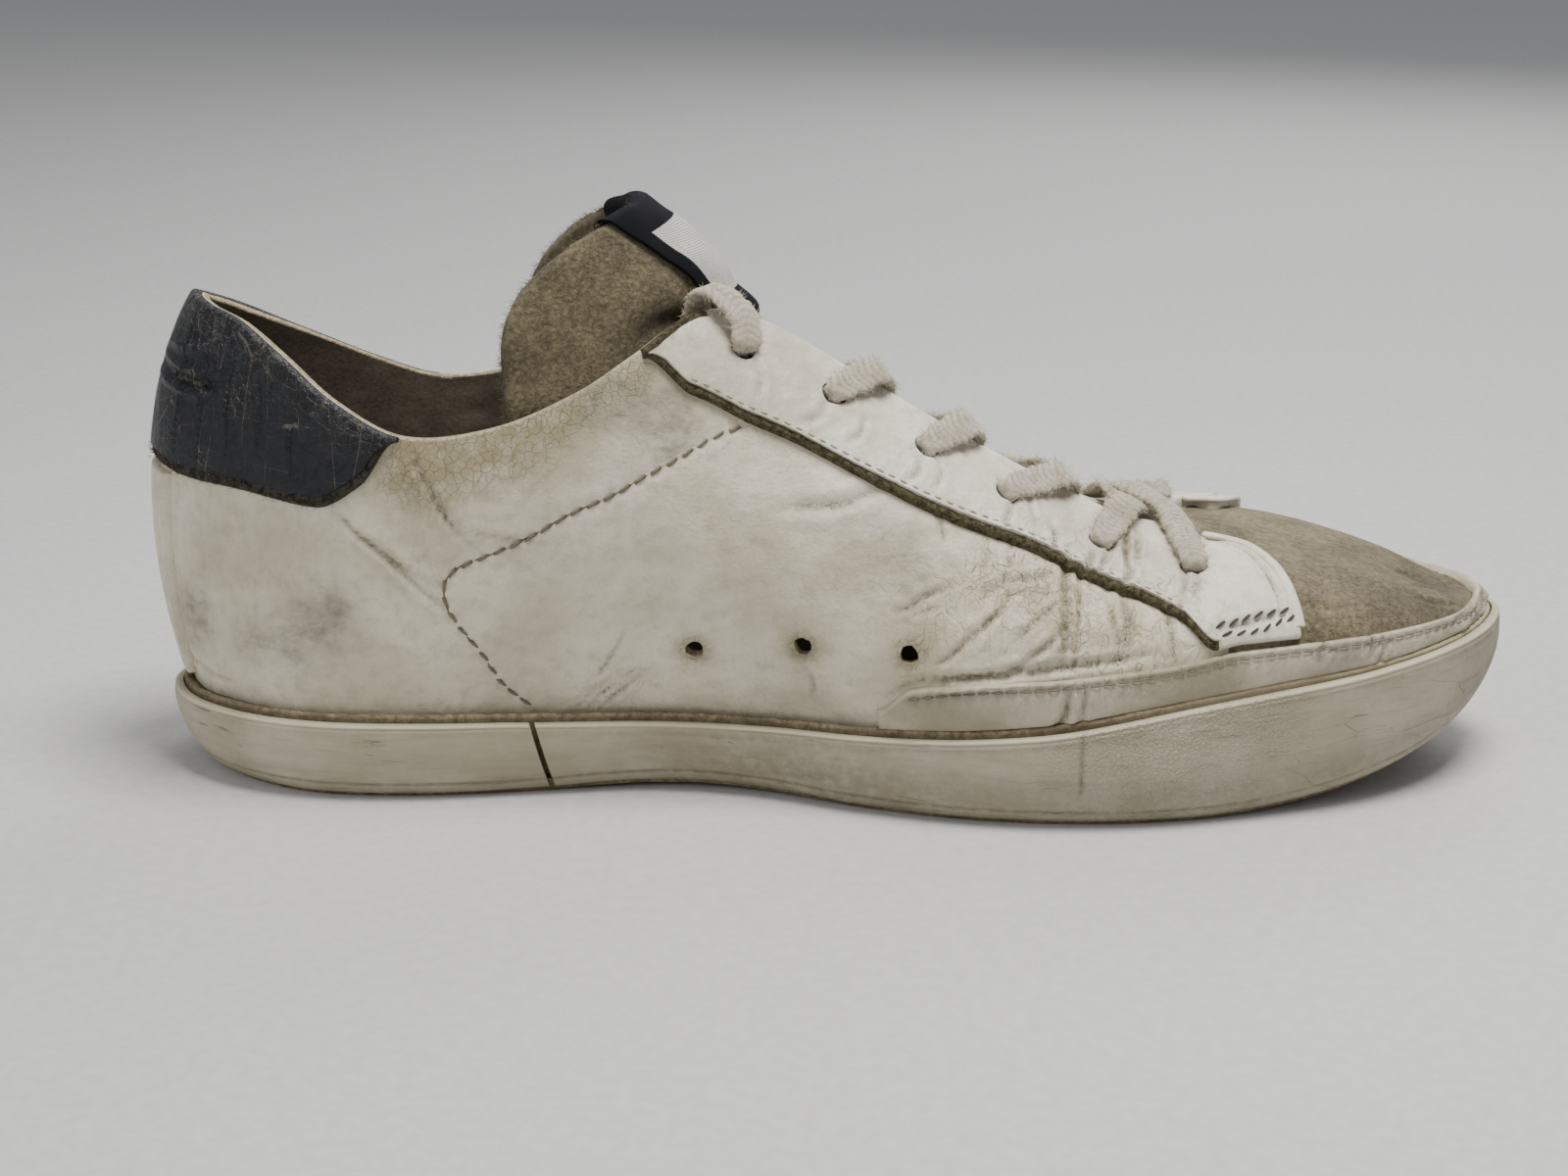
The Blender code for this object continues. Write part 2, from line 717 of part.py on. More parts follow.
def make_foxing(collection):
    """Side band with rolled lower edge and a bead on top, open at its slanted joint."""
    low = OUTSOLE_THICKNESS + GAP

    def section(row, slant_side):
        outer, outward = foot_line(row, 0.0)
        along = Vector((-outward.y, outward.x, 0.0))
        floor = floor_height(outer.x)
        span = foxing_top(outer.x) - floor - low
        outside = []
        inside = []
        for share, bead, corner in FOXING_PROFILE:
            rise = low + share * span
            slant = slant_side * FOXING_JOINT_GAP / 2
            slant += (share - 0.5) * FOXING_JOINT_SLANT if slant_side else 0.0
            tuck = edge_tuck(outer.x, rise)
            depth = tuck + bead * FOXING_BEAD_STEP + FOXING_LEAN * share ** 3
            height = Vector((0, 0, floor + rise))
            outside.append(outer - outward * depth + along * slant + height)
            if corner:
                inside.append(outer - outward * (tuck + FOXING_WALL) + along * slant + height)
        return outside + inside[::-1]

    stations = [foot_line(k, 0.0)[0].x for k in range(TOE_ROW + 1)]
    joint = float(np.interp(FOXING_JOINT, stations, range(TOE_ROW + 1)))
    loop = 2 * TOE_ROW
    later = sorted((row - joint) % loop for row in running_rows(SAMPLES_PER_ROW))
    keep = [step for step in later if 0.3 < step < loop - 0.3]
    sections = [section(joint, 1)]
    for step in keep:
        row = (joint + step) % loop
        sections.append(section(row, 0))
    sections.append(section(joint, -1))
    material = make_material("foxing_rubber", (0.66, 0.60, 0.49), 0.6)
    return add_object("foxing", loft_solid(sections), collection, material)


# Upper and panels


def hole_cutters(name, spots, bore, cutters):
    """Round pins through the upper at given rows and shares, one mesh."""
    pins = bmesh.new()
    for row, share in spots:
        normal = upper_normal(row, share)
        turn = normal.to_track_quat("Z", "Y").to_matrix().to_4x4()
        turn.translation = upper_point(row, share)
        bmesh.ops.create_cone(
            pins, cap_ends=True, segments=8, radius1=bore / 2, radius2=bore / 2,
            depth=CUTTER_LENGTH, matrix=turn,
        )
    cutter = add_object(name, pins, cutters)
    hide_cutter(cutter)
    return cutter


def make_upper(collection, eyelets, vents):
    """Hollow leather body, both sides welded along the vamp's ridge."""
    bm = bmesh.new()
    rows = running_rows(SAMPLES_PER_ROW)
    loops = []
    ridge = {}
    for row in rows:
        side, k = fold(row)
        foot, _ = foot_line(row, UPPER_INSET)
        outer, _ = foot_line(row, 0.0)
        hem = Vector((foot.x, foot.y, midsole_top(outer.x) + GAP))
        line = [bm.verts.new(hem)]
        for j in range(RIB_SAMPLES):
            line.append(bm.verts.new(upper_point(row, j / RIB_SAMPLES)))
        if k >= THROAT_ROW and k in ridge:
            line.append(ridge[k])
        else:
            line.append(bm.verts.new(upper_point(row, 1.0)))
            ridge[k] = line[-1]
        loops.append(line)
    for i, line in enumerate(loops):
        after = loops[(i + 1) % len(loops)]
        for j in range(RIB_SAMPLES + 1):
            corners = (line[j], after[j], after[j + 1], line[j + 1])
            bm.faces.new(list(dict.fromkeys(corners)))
    bmesh.ops.recalc_face_normals(bm, faces=bm.faces)
    material = make_material("upper_leather", (0.78, 0.76, 0.70), 0.55)
    item = add_object("upper", bm, collection, material)
    thicken(item, UPPER_WALL, -1.0)
    cut(item, eyelets)
    cut(item, vents)
    return item


def panel(name, table, thickness, collection, material, mirrored=False, strips=3):
    """Plate over the upper between the lower and upper edges of a table."""
    first, last = table[0][0], table[-1][0]
    lower = [(row[0], row[1]) for row in table]
    upper = [(row[0], row[2]) for row in table]
    table_rows = [row[0] for row in table]
    halves = np.arange(math.ceil(first * 2) / 2, last, 0.5)
    between = [row for row in halves if min(abs(row - own) for own in table_rows) > 0.26]
    rows = []
    for row in sorted(table_rows + between):
        low = panel_edge(lower, row)
        high = panel_edge(upper, row)
        running = -row if mirrored else row
        shares = [low + (high - low) * i / strips for i in range(strips + 1)]
        rows.append([lifted(running, share, OVERLAY_GAP) for share in shares])
    bm = grid_mesh(rows)
    item = add_object(name, bm, collection, material)
    thicken(item, thickness, -1.0 if mirrored else 1.0)
    return item


def panel_edge(points, row):
    """Edge of a panel between its table's rows."""
    xs = [point[0] for point in points]
    ys = [point[1] for point in points]
    index = min(max(int(np.searchsorted(xs, row, side="right")) - 1, 0), len(xs) - 2)
    f = (row - xs[index]) / (xs[index + 1] - xs[index])
    return min(catmull(ys, index + f), 1.0)


def make_stays(collection, eyelets):
    """Lacing panels on both sides, each punched with its eyelets."""
    for name, mirrored in (("eyestay_medial", False), ("eyestay_lateral", True)):
        material = make_material(name + "_leather", (0.84, 0.83, 0.78), 0.5)
        item = panel(name, EYESTAY, STAY_THICKNESS, collection, material, mirrored, strips=4)
        cut(item, eyelets)


def make_heel_pieces(collection):
    """Dark tab round the collar and the strip below it."""
    dark = make_material("heel_tab_leather", (0.03, 0.035, 0.05), 0.35)
    panel("heel_tab", HEEL_TAB, TAB_THICKNESS, collection, dark)
    white = make_material("back_strip_leather", (0.74, 0.70, 0.62), 0.6)
    panel("back_strip", BACK_STRIP, STRIP_THICKNESS, collection, white, strips=4)


def make_mudguard(collection):
    """Leather strip round the toe, from the inner waist to the outer."""
    back = [(2 * TOE_ROW - row, low, high) for row, low, high in MUDGUARD[-2::-1]]
    table = MUDGUARD + tuple(back)
    white = make_material("mudguard_leather", (0.76, 0.73, 0.66), 0.55)
    return panel("mudguard", table, GUARD_THICKNESS, collection, white, strips=2)


# Tongue and label


def tongue_value(name, at):
    """A column of the tongue table at any row."""
    return catmull(column(TONGUE, TONGUE_COLUMNS, name), at, -1.0, -1.0)


def tongue_point(at, across, depth=0.0):
    """Outer face of the tongue: at counts its rows, across runs -1 (medial) to 1."""
    side = -1 if across < 0 else 1
    row = tongue_value("row", at)
    wing = tongue_value("wing", at)
    spring = tongue_value("spring", at)
    room = tongue_value("room", at) * LACE_ROOM
    sink = -(UPPER_WALL + TONGUE_GAP + room + depth)
    amount = abs(across)

    def anchor(which):
        running = row if which < 0 else -row
        return lifted(running, spring, sink)

    start = anchor(side)
    middle = (anchor(-1) + anchor(1)) / 2
    middle.x += tongue_value("forward", at) * UPPER_HEIGHT
    middle.z += tongue_value("rise", at) * UPPER_HEIGHT
    if amount > TONGUE_BRIDGE:
        down = (amount - TONGUE_BRIDGE) / (1 - TONGUE_BRIDGE)
        running = row if side < 0 else -row
        return lifted(running, spring + (wing - spring) * down, sink)
    running = row if side < 0 else -row
    arrival = rib_handles(running)[4]
    span = (middle - start).length
    first = start + arrival * span * 0.40
    second = middle + Vector((0, side, 0)) * span * 0.45
    return bezier(start, first, second, middle, 1 - amount / TONGUE_BRIDGE)


def mirrored_spread(strips):
    """Places across the tongue from one side to the other, this many strips each way."""
    near = TONGUE_SPREAD[1:strips + 1]
    return [-place for place in near[::-1]] + [0.0] + list(near)


def tongue_lifted(at, across, lift):
    """Point at a height over the tongue's outer face."""
    side = tongue_point(at, across + 0.02) - tongue_point(at, across - 0.02)
    up = tongue_point(at + 0.05, across) - tongue_point(at - 0.05, across)
    return tongue_point(at, across) - up.cross(side).normalized() * lift


def make_tongue(collection):
    """Thick suede tongue under the throat with a free, wrapped top."""
    spread = mirrored_spread(len(TONGUE_SPREAD) - 1)
    rows = []
    for i in range(TONGUE_STEPS + 1):
        at = TONGUE_TOP * i / TONGUE_STEPS
        rows.append([tongue_point(at, across) for across in spread])
    material = make_material("tongue_suede", (0.22, 0.19, 0.13), 0.95)
    item = add_object("tongue", grid_mesh(rows), collection, material)
    thicken(item, TONGUE_THICKNESS, 1.0)
    return item


def make_label(collection):
    """Woven strip on the tongue's front, up to its top edge."""
    rows = []
    for i in range(LABEL_STEPS + 1):
        at = min(TONGUE_TOP * (1 - i / TONGUE_STEPS), TONGUE_TOP - LABEL_TOP_MARGIN)
        spread = mirrored_spread(LABEL_STRIPS)
        rows.append([tongue_lifted(at, across, OVERLAY_GAP) for across in spread])
    material = make_material("label_cloth", (0.05, 0.055, 0.07), 0.8)
    item = add_object("tongue_label", grid_mesh(rows), collection, material)
    thicken(item, LABEL_THICKNESS, 1.0)
    return item


# Lace


def smooth_path(points, steps):
    """Catmull-Rom through a short list of vectors, with its ends kept."""
    last = len(points) - 1
    count = last * steps
    columns = [[point[axis] for point in points] for axis in range(3)]
    path = []
    for i in range(count + 1):
        at = i / steps
        path.append(Vector([catmull(values, at, -1.0, -1.0) for values in columns]))
    return path


def lace_solid(points, normals, steps):
    """Flat cord along a path; normals face out of its flat side."""
    path = smooth_path(points, steps)
    facing = smooth_path(normals, steps)
    rows = []
    for i, point in enumerate(path):
        ahead = path[min(i + 1, len(path) - 1)] - path[max(i - 1, 0)]
        across = facing[i].cross(ahead).normalized()
        normal = ahead.cross(across).normalized()
        line = []
        for j in range(LACE_SIDES):
            angle = 2 * math.pi * (j + 0.5) / LACE_SIDES
            wide = across * math.cos(angle) * LACE_WIDTH / 2
            line.append(point + wide + normal * math.sin(angle) * LACE_THICKNESS / 2)
        rows.append(line)
    return loft_solid(rows)


def over_hole(side, eyelet):
    """Rib row and share of an eyelet on one side."""
    row, share = EYELETS[eyelet]
    return -side * row, share


def lace_diagonal(side, low, high, high_lift):
    """Route from under one eyestay, up through the throat, to the hole on the other side.

    low and high number the eyelets; high_lift puts the end over or under the eyestay.
    """
    start_row, start_share = over_hole(side, low)
    end_row, end_share = over_hole(-side, high)
    rows = [abs(start_row) + (abs(end_row) - abs(start_row)) * u for u in LACE_CROSSINGS[high]]
    sign = -side
    edge_rise = LACE_EDGE_RISE if high_lift > 0 else -LACE_EDGE_DIP
    spots = [
        (sign * rows[0], (start_share + 1) / 2, LACE_UNDER),
        (sign * rows[1], 1.0, LACE_UNDER - LACE_EDGE_DIP),
        (-sign * rows[2], 1.0, high_lift + edge_rise),
        (-sign * rows[3], (end_share + 1) / 2, high_lift),
    ]
    points = [lifted(*spot) for spot in spots]
    normals = [upper_normal(spot[0], spot[1]) for spot in spots]
    if high_lift > 0:
        points.append(lifted(end_row, end_share, high_lift))
        normals.append(upper_normal(end_row, end_share))
    middle = (points[1] + points[2]) / 2
    tongue_face = tongue_point(TONGUE_SEAM_ROW - (rows[1] + rows[2]) / 2, 0.0)
    middle.z = max(middle.z, tongue_face.z + LACE_ROOM + LACE_THICKNESS / 2)
    middle_normal = (normals[1] + normals[2]).normalized()
    return points[:2] + [middle] + points[2:], normals[:2] + [middle_normal] + normals[2:]


def make_laces(collection, cutters):
    """Each crossing as one joined solid, the bar below them and the two tucked ends."""
    cotton = make_material("lace_cotton", (0.72, 0.67, 0.58), 0.95)
    for high in range(len(EYELETS) - 1):
        lift = LACE_UNDER if high == 0 else LACE_OVER
        pair = []
        for side in (-1, 1):
            points, normals = lace_diagonal(side, high + 1, high, lift)
            solid = lace_solid(points, normals, LACE_STEPS)
            name = f"lace_cross_{high + 1}" if side < 0 else f"lace_cross_half_{high + 1}"
            pair.append(add_object(name, solid, collection if side < 0 else cutters, cotton))
        hide_cutter(pair[1])
        cut(pair[0], pair[1], "UNION")
    make_bar(collection, cotton)
    for side, name in ((-1, "lace_end_medial"), (1, "lace_end_lateral")):
        make_lace_end(side, name, collection, cotton)


def make_bar(collection, material):
    """Slack bar between the two lowest eyelets, bowed towards the heel."""
    row, share = EYELETS[-1]
    near = [(row, share), (row - 0.15, 0.84), (row - 0.5, 1.0)]
    apex = (top_edge(row - 1.05) + top_edge(1.05 - row)) / 2 + Vector((0, 0, LACE_BAR_RISE))
    sides = []
    for sign in (1, -1):
        points = [lifted(sign * r, s, LACE_OVER) for r, s in near]
        points[-1].z += LACE_THICKNESS / 2
        sides.append((points, [upper_normal(sign * r, s) for r, s in near]))
    points = sides[0][0] + [apex] + sides[1][0][::-1]
    normals = sides[0][1] + [Vector((0, 0, 1))] + sides[1][1][::-1]
    add_object("lace_bar", lace_solid(points, normals, LACE_STEPS), collection, material)


def make_lace_end(side, name, collection, material):
    """From the top eyelet over the eyestay's end and down behind it."""
    row, share = over_hole(side, 0)
    sign = -side
    up = Vector((0, 0, 1))
    crest = upper_point(sign * LACE_TUCK[0][0], 1.0) + up * LACE_TUCK_RISE
    over_edge = lifted(row, 0.965, LACE_OVER + LACE_THICKNESS / 2)
    points = [lifted(row, share, LACE_OVER), over_edge, crest]
    normals = [upper_normal(row, share), upper_normal(row, 0.965), up]
    for tuck_row, tuck_share in LACE_TUCK[1:]:
        points.append(lifted(sign * tuck_row, tuck_share, LACE_TUCKED))
        normals.append(-upper_normal(sign * tuck_row, tuck_share))
    add_object(name, lace_solid(points, normals, LACE_STEPS), collection, material)


clear_scene()
shoe_collection = bpy.data.collections.new("worn_out_sneaker")
cutter_collection = bpy.data.collections.new("cutters")
bpy.context.scene.collection.children.link(shoe_collection)
bpy.context.scene.collection.children.link(cutter_collection)
origin = bpy.data.objects.new("heel_seat_origin", None)
shoe_collection.objects.link(origin)
origin.location.x = -HEEL_SEAT

eyelet_spots = [(side * row, share) for row, share in EYELETS for side in (1, -1)]
eyelet_pins = hole_cutters("eyelet_cutters", eyelet_spots, EYELET_BORE, cutter_collection)
vent_pins = hole_cutters("vent_cutters", VENTS, VENT_BORE, cutter_collection)
make_outsole(shoe_collection, cutter_collection)
make_midsole(shoe_collection)
make_insole(shoe_collection)
make_foxing(shoe_collection)
make_upper(shoe_collection, eyelet_pins, vent_pins)
make_stays(shoe_collection, eyelet_pins)
make_heel_pieces(shoe_collection)
make_mudguard(shoe_collection)
make_tongue(shoe_collection)
make_label(shoe_collection)
make_laces(shoe_collection, cutter_collection)
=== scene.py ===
"""Looks of the worn low sneaker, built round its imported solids.

Lengths are metres in the row frame: +X to the toe, -Y the inner side, +Z up, origin on
the floor under the heel seat. Rib rows and shares are those of the solids' own tables:
row 0 is the heel, 22 the toe, a negative row is the outer side, share 0 lies at the
sole and 1 at the upper's top edge.
"""

import math

import bpy
import numpy as np
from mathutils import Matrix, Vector


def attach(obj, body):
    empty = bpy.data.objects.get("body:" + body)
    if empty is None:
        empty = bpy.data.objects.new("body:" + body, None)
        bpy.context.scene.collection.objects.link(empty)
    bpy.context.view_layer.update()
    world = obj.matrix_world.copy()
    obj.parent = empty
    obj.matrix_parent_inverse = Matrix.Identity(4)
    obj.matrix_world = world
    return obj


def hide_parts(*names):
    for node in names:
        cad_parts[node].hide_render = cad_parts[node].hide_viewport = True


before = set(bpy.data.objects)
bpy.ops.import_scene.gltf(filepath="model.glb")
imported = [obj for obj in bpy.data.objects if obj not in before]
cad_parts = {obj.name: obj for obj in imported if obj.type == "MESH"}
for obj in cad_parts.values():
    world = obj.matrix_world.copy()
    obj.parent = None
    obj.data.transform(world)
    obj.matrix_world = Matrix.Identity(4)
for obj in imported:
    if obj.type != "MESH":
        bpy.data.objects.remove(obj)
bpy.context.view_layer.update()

MM = 0.001
TAU = 2 * math.pi

# Sizes and tables of the solids
SHOE_LENGTH = 290 * MM
BALL_WIDTH = 102 * MM
UPPER_HEIGHT = 102 * MM
TOE_SPRING = 15 * MM
ARCH_RISE = 1.3 * MM
TOE_SWING = 6 * MM
HEEL_SEAT = 0.13 * SHOE_LENGTH
GAP = 0.3 * MM
OVERLAY_GAP = 0.7 * MM
OUTSOLE_THICKNESS = 3.2 * MM
MIDSOLE_HEEL = 12.0 * MM
MIDSOLE_TOE = 8.5 * MM
FOXING_HEIGHT = 17 * MM
FOXING_WALL = 2.2 * MM
FOXING_LEAN = 0.5 * MM
FOXING_JOINT = 0.29 * SHOE_LENGTH
FOXING_JOINT_GAP = 1.2 * MM
FOXING_JOINT_SLANT = -4.0 * MM
FOXING_LOW = 0.9 * MM
FOXING_LIP = 0.55 * MM
FOXING_GROOVE_HEIGHT = 3.4 * MM
FOXING_CRACK = 193.2 * MM
FOXING_END = 0.3
FOXING_END_STEPS = (0.0, 0.07, 0.15, 0.22)
CUP_RIM = 2.0 * MM
CUP_LEDGE = 1.6 * MM
EDGE_TUCK = 4.5 * MM
EDGE_TUCK_HEIGHT = 13 * MM
HEEL_ROLL_LENGTH = 34 * MM
HEEL_ROLL_DEPTH = 0.8
HEEL_ROLL_REACH = 0.25
UPPER_WALL = 2.0 * MM
STAY_THICKNESS = 1.5 * MM
TAB_THICKNESS = 1.4 * MM
STRIP_THICKNESS = 1.0 * MM
GUARD_THICKNESS = 1.3 * MM
EYELET_RADIUS = 2.8 * MM
VENT_RADIUS = 1.9 * MM
TONGUE_THICKNESS = 4.0 * MM
TONGUE_GAP = 0.5 * MM
LABEL_THICKNESS = 1.0 * MM
LACE_WIDTH = 6.4 * MM
LACE_THICKNESS = 2.2 * MM
LACE_ROOM = LACE_THICKNESS + 4 * GAP
LACE_OVER = OVERLAY_GAP + STAY_THICKNESS + 2 * GAP + LACE_THICKNESS / 2
LACE_UNDER = -(UPPER_WALL + 1.5 * GAP + LACE_THICKNESS / 2)
LACE_TUCKED = LACE_UNDER - 3 * GAP
LACE_EDGE_RISE = 1.3 * MM
LACE_EDGE_DIP = 0.6 * MM
LACE_BAR_RISE = 7.5 * MM
LACE_TUCK_RISE = 4.6 * MM
UPPER_INSET = FOXING_WALL + GAP + CUP_RIM + GAP

# Shares of the way between two eyelets where a crossing passes its four edges
LACE_CROSSINGS = (
    (-0.14, -0.08, 0.08, 0.14),
    (0.06, 0.16, 0.42, 0.72),
    (0.06, 0.16, 0.42, 0.72),
    (0.06, 0.16, 0.42, 0.72),
    (0.14, 0.28, 0.74, 0.88),
)
# Rows and shares that a lace's end passes on its way down behind the eyestay
LACE_TUCK = ((9.3, 1.0), (9.28, 1.0), (9.16, 0.91), (9.0, 0.81), (8.85, 0.71))

# station, half widths to the inner and the outer side
OUTLINE = (
    (0.007, 0.000, 0.000), (0.019, 0.113, 0.115), (0.041, 0.191, 0.196),
    (0.083, 0.270, 0.275), (0.138, 0.316, 0.322), (0.207, 0.323, 0.340),
    (0.293, 0.296, 0.358), (0.379, 0.277, 0.388), (0.448, 0.314, 0.425),
    (0.517, 0.392, 0.470), (0.586, 0.451, 0.508), (0.662, 0.476, 0.524),
    (0.738, 0.460, 0.515), (0.807, 0.412, 0.480), (0.869, 0.352, 0.430),
    (0.924, 0.266, 0.352), (0.962, 0.164, 0.256), (0.985, 0.062, 0.160),
    (0.997, -0.049, 0.049),
)
# station, height of the band's top in parts of its height
FOXING_TOP = (
    (0.00, 1.00), (0.20, 1.00), (0.39, 0.93), (0.52, 1.00), (0.64, 1.18),
    (0.75, 1.50), (0.87, 1.70), (0.96, 1.84), (1.00, 1.86),
)
RIB_COLUMNS = (
    "foot_x", "top_x", "opening", "top_z", "drop", "lean", "crown", "foot_pull", "top_pull",
)
RIBS = (
    (0.023, 0.0470, 0.000, 0.990, 0.000, 15, 58, 0.33, 0.30),
    (0.036, 0.0590, 0.092, 0.984, 0.030, 14, 62, 0.33, 0.30),
    (0.069, 0.0870, 0.167, 0.962, 0.060, 12, 68, 0.33, 0.30),
    (0.110, 0.1200, 0.245, 0.905, 0.062, 11, 76, 0.33, 0.30),
    (0.155, 0.1550, 0.298, 0.829, 0.040, 11, 84, 0.33, 0.30),
    (0.214, 0.2020, 0.325, 0.765, 0.020, 13, 88, 0.33, 0.30),
    (0.290, 0.2620, 0.335, 0.784, 0.020, 18, 86, 0.33, 0.30),
    (0.362, 0.3180, 0.325, 0.850, 0.030, 24, 78, 0.33, 0.32),
    (0.420, 0.3600, 0.285, 0.922, 0.040, 26, 68, 0.33, 0.34),
    (0.466, 0.3980, 0.180, 0.978, 0.050, 26, 52, 0.33, 0.36),
    (0.507, 0.4380, 0.098, 0.950, 0.055, 24, 40, 0.34, 0.38),
    (0.552, 0.5030, 0.088, 0.845, 0.055, 20, 34, 0.35, 0.40),
    (0.600, 0.5720, 0.088, 0.725, 0.055, 16, 30, 0.36, 0.42),
    (0.648, 0.6380, 0.088, 0.619, 0.050, 14, 26, 0.38, 0.42),
    (0.693, 0.6930, 0.088, 0.538, 0.035, 12, 18, 0.40, 0.42),
    (0.734, 0.7330, 0.080, 0.504, 0.015, 12, 8, 0.40, 0.42),
    (0.769, 0.7530, 0.000, 0.494, 0.000, 12, 0, 0.40, 0.46),
    (0.810, 0.7900, 0.000, 0.482, 0.000, 12, 0, 0.38, 0.48),
    (0.855, 0.8310, 0.000, 0.462, 0.000, 10, 0, 0.36, 0.48),
    (0.897, 0.8720, 0.000, 0.434, 0.000, 8, 0, 0.34, 0.46),
    (0.934, 0.9070, 0.000, 0.402, 0.000, 5, 0, 0.32, 0.42),
    (0.962, 0.9340, 0.000, 0.371, 0.000, 2, 0, 0.30, 0.38),
    (0.980, 0.9530, 0.000, 0.347, 0.000, 0, 0, 0.30, 0.34),
)
TOE_ROW = len(RIBS) - 1
THROAT_ROW = 16
EYESTAY_FRONT_ROW = 15.75
# Holes: rib row, share
EYELETS = ((9.55, 0.90), (10.7, 0.87), (11.7, 0.86), (12.6, 0.84), (13.8, 0.78), (15.55, 0.61))
VENTS = ((7.75, 0.22), (9.45, 0.21), (11.05, 0.22))
# Panels: rib row, shares of the lower and the upper edge
EYESTAY = (
    (8.1, 0.975, 1.00), (8.6, 0.84, 1.00), (9.3, 0.74, 1.00), (10.2, 0.69, 1.00),
    (11.2, 0.665, 1.00), (12.2, 0.66, 1.00), (12.9, 0.655, 1.00), (13.5, 0.60, 1.00),
    (14.4, 0.50, 1.00), (15.1, 0.35, 0.99), (15.6, 0.19, 0.90), (16.2, 0.185, 0.78),
    (16.8, 0.185, 0.76), (17.2, 0.185, 0.55),
)
HEEL_TAB = (
    (-4.95, 0.98, 1.00), (-4.4, 0.78, 1.00), (-3.8, 0.65, 1.00), (-3.2, 0.605, 1.00),
    (-1.6, 0.56, 1.00), (0.0, 0.56, 1.00), (1.6, 0.56, 1.00), (3.2, 0.605, 1.00),
    (3.8, 0.65, 1.00), (4.4, 0.78, 1.00), (4.95, 0.98, 1.00),
)
BACK_STRIP = ((-0.8, 0.02, 0.545), (0.0, 0.02, 0.545), (0.8, 0.02, 0.545))
MUDGUARD = (
    (10.5, 0.01, 0.05), (11.0, 0.01, 0.12), (12.0, 0.01, 0.155), (13.5, 0.01, 0.165),
    (15.5, 0.02, 0.16), (17.5, 0.03, 0.16), (19.0, 0.03, 0.17), (20.5, 0.03, 0.20),
    (21.4, 0.04, 0.30), (22.0, 0.05, 0.42),
)
TONGUE_COLUMNS = ("row", "wing", "spring", "forward", "rise", "room")
TONGUE = (
    (16.9, 0.72, 0.90, 0.000, 0.002, 0.00), (16.0, 0.66, 0.88, 0.000, 0.004, 0.90),
    (15.0, 0.62, 0.98, 0.000, 0.004, 1.20), (14.0, 0.60, 0.98, 0.000, 0.012, 1.00),
    (13.0, 0.59, 0.98, 0.000, 0.014, 1.00), (12.0, 0.58, 0.98, 0.000, 0.012, 1.00),
    (11.0, 0.59, 0.98, 0.000, 0.004, 1.10), (10.0, 0.62, 0.98, 0.055, 0.020, 1.20),
    (9.0, 0.70, 0.98, 0.145, 0.060, 1.30), (8.0, 0.78, 0.98, 0.194, 0.148, 1.20),
    (7.0, 0.86, 1.05, 0.232, 0.236, 0.55), (6.15, 0.94, 1.20, 0.253, 0.280, 0.25),
)
TONGUE_TOP = len(TONGUE) - 1
TONGUE_SEAM_ROW = 17
TONGUE_BRIDGE = 0.62
LABEL_SPREAD = 0.19
LABEL_LOW = TONGUE_TOP * (1 - 4 / 14)
LABEL_TURN = TONGUE_TOP - 0.25
LABEL_TURN_STEPS = 15
LABEL_FIELD = (8.75, 10.45)
LABEL_FIELD_SPREAD = 0.145

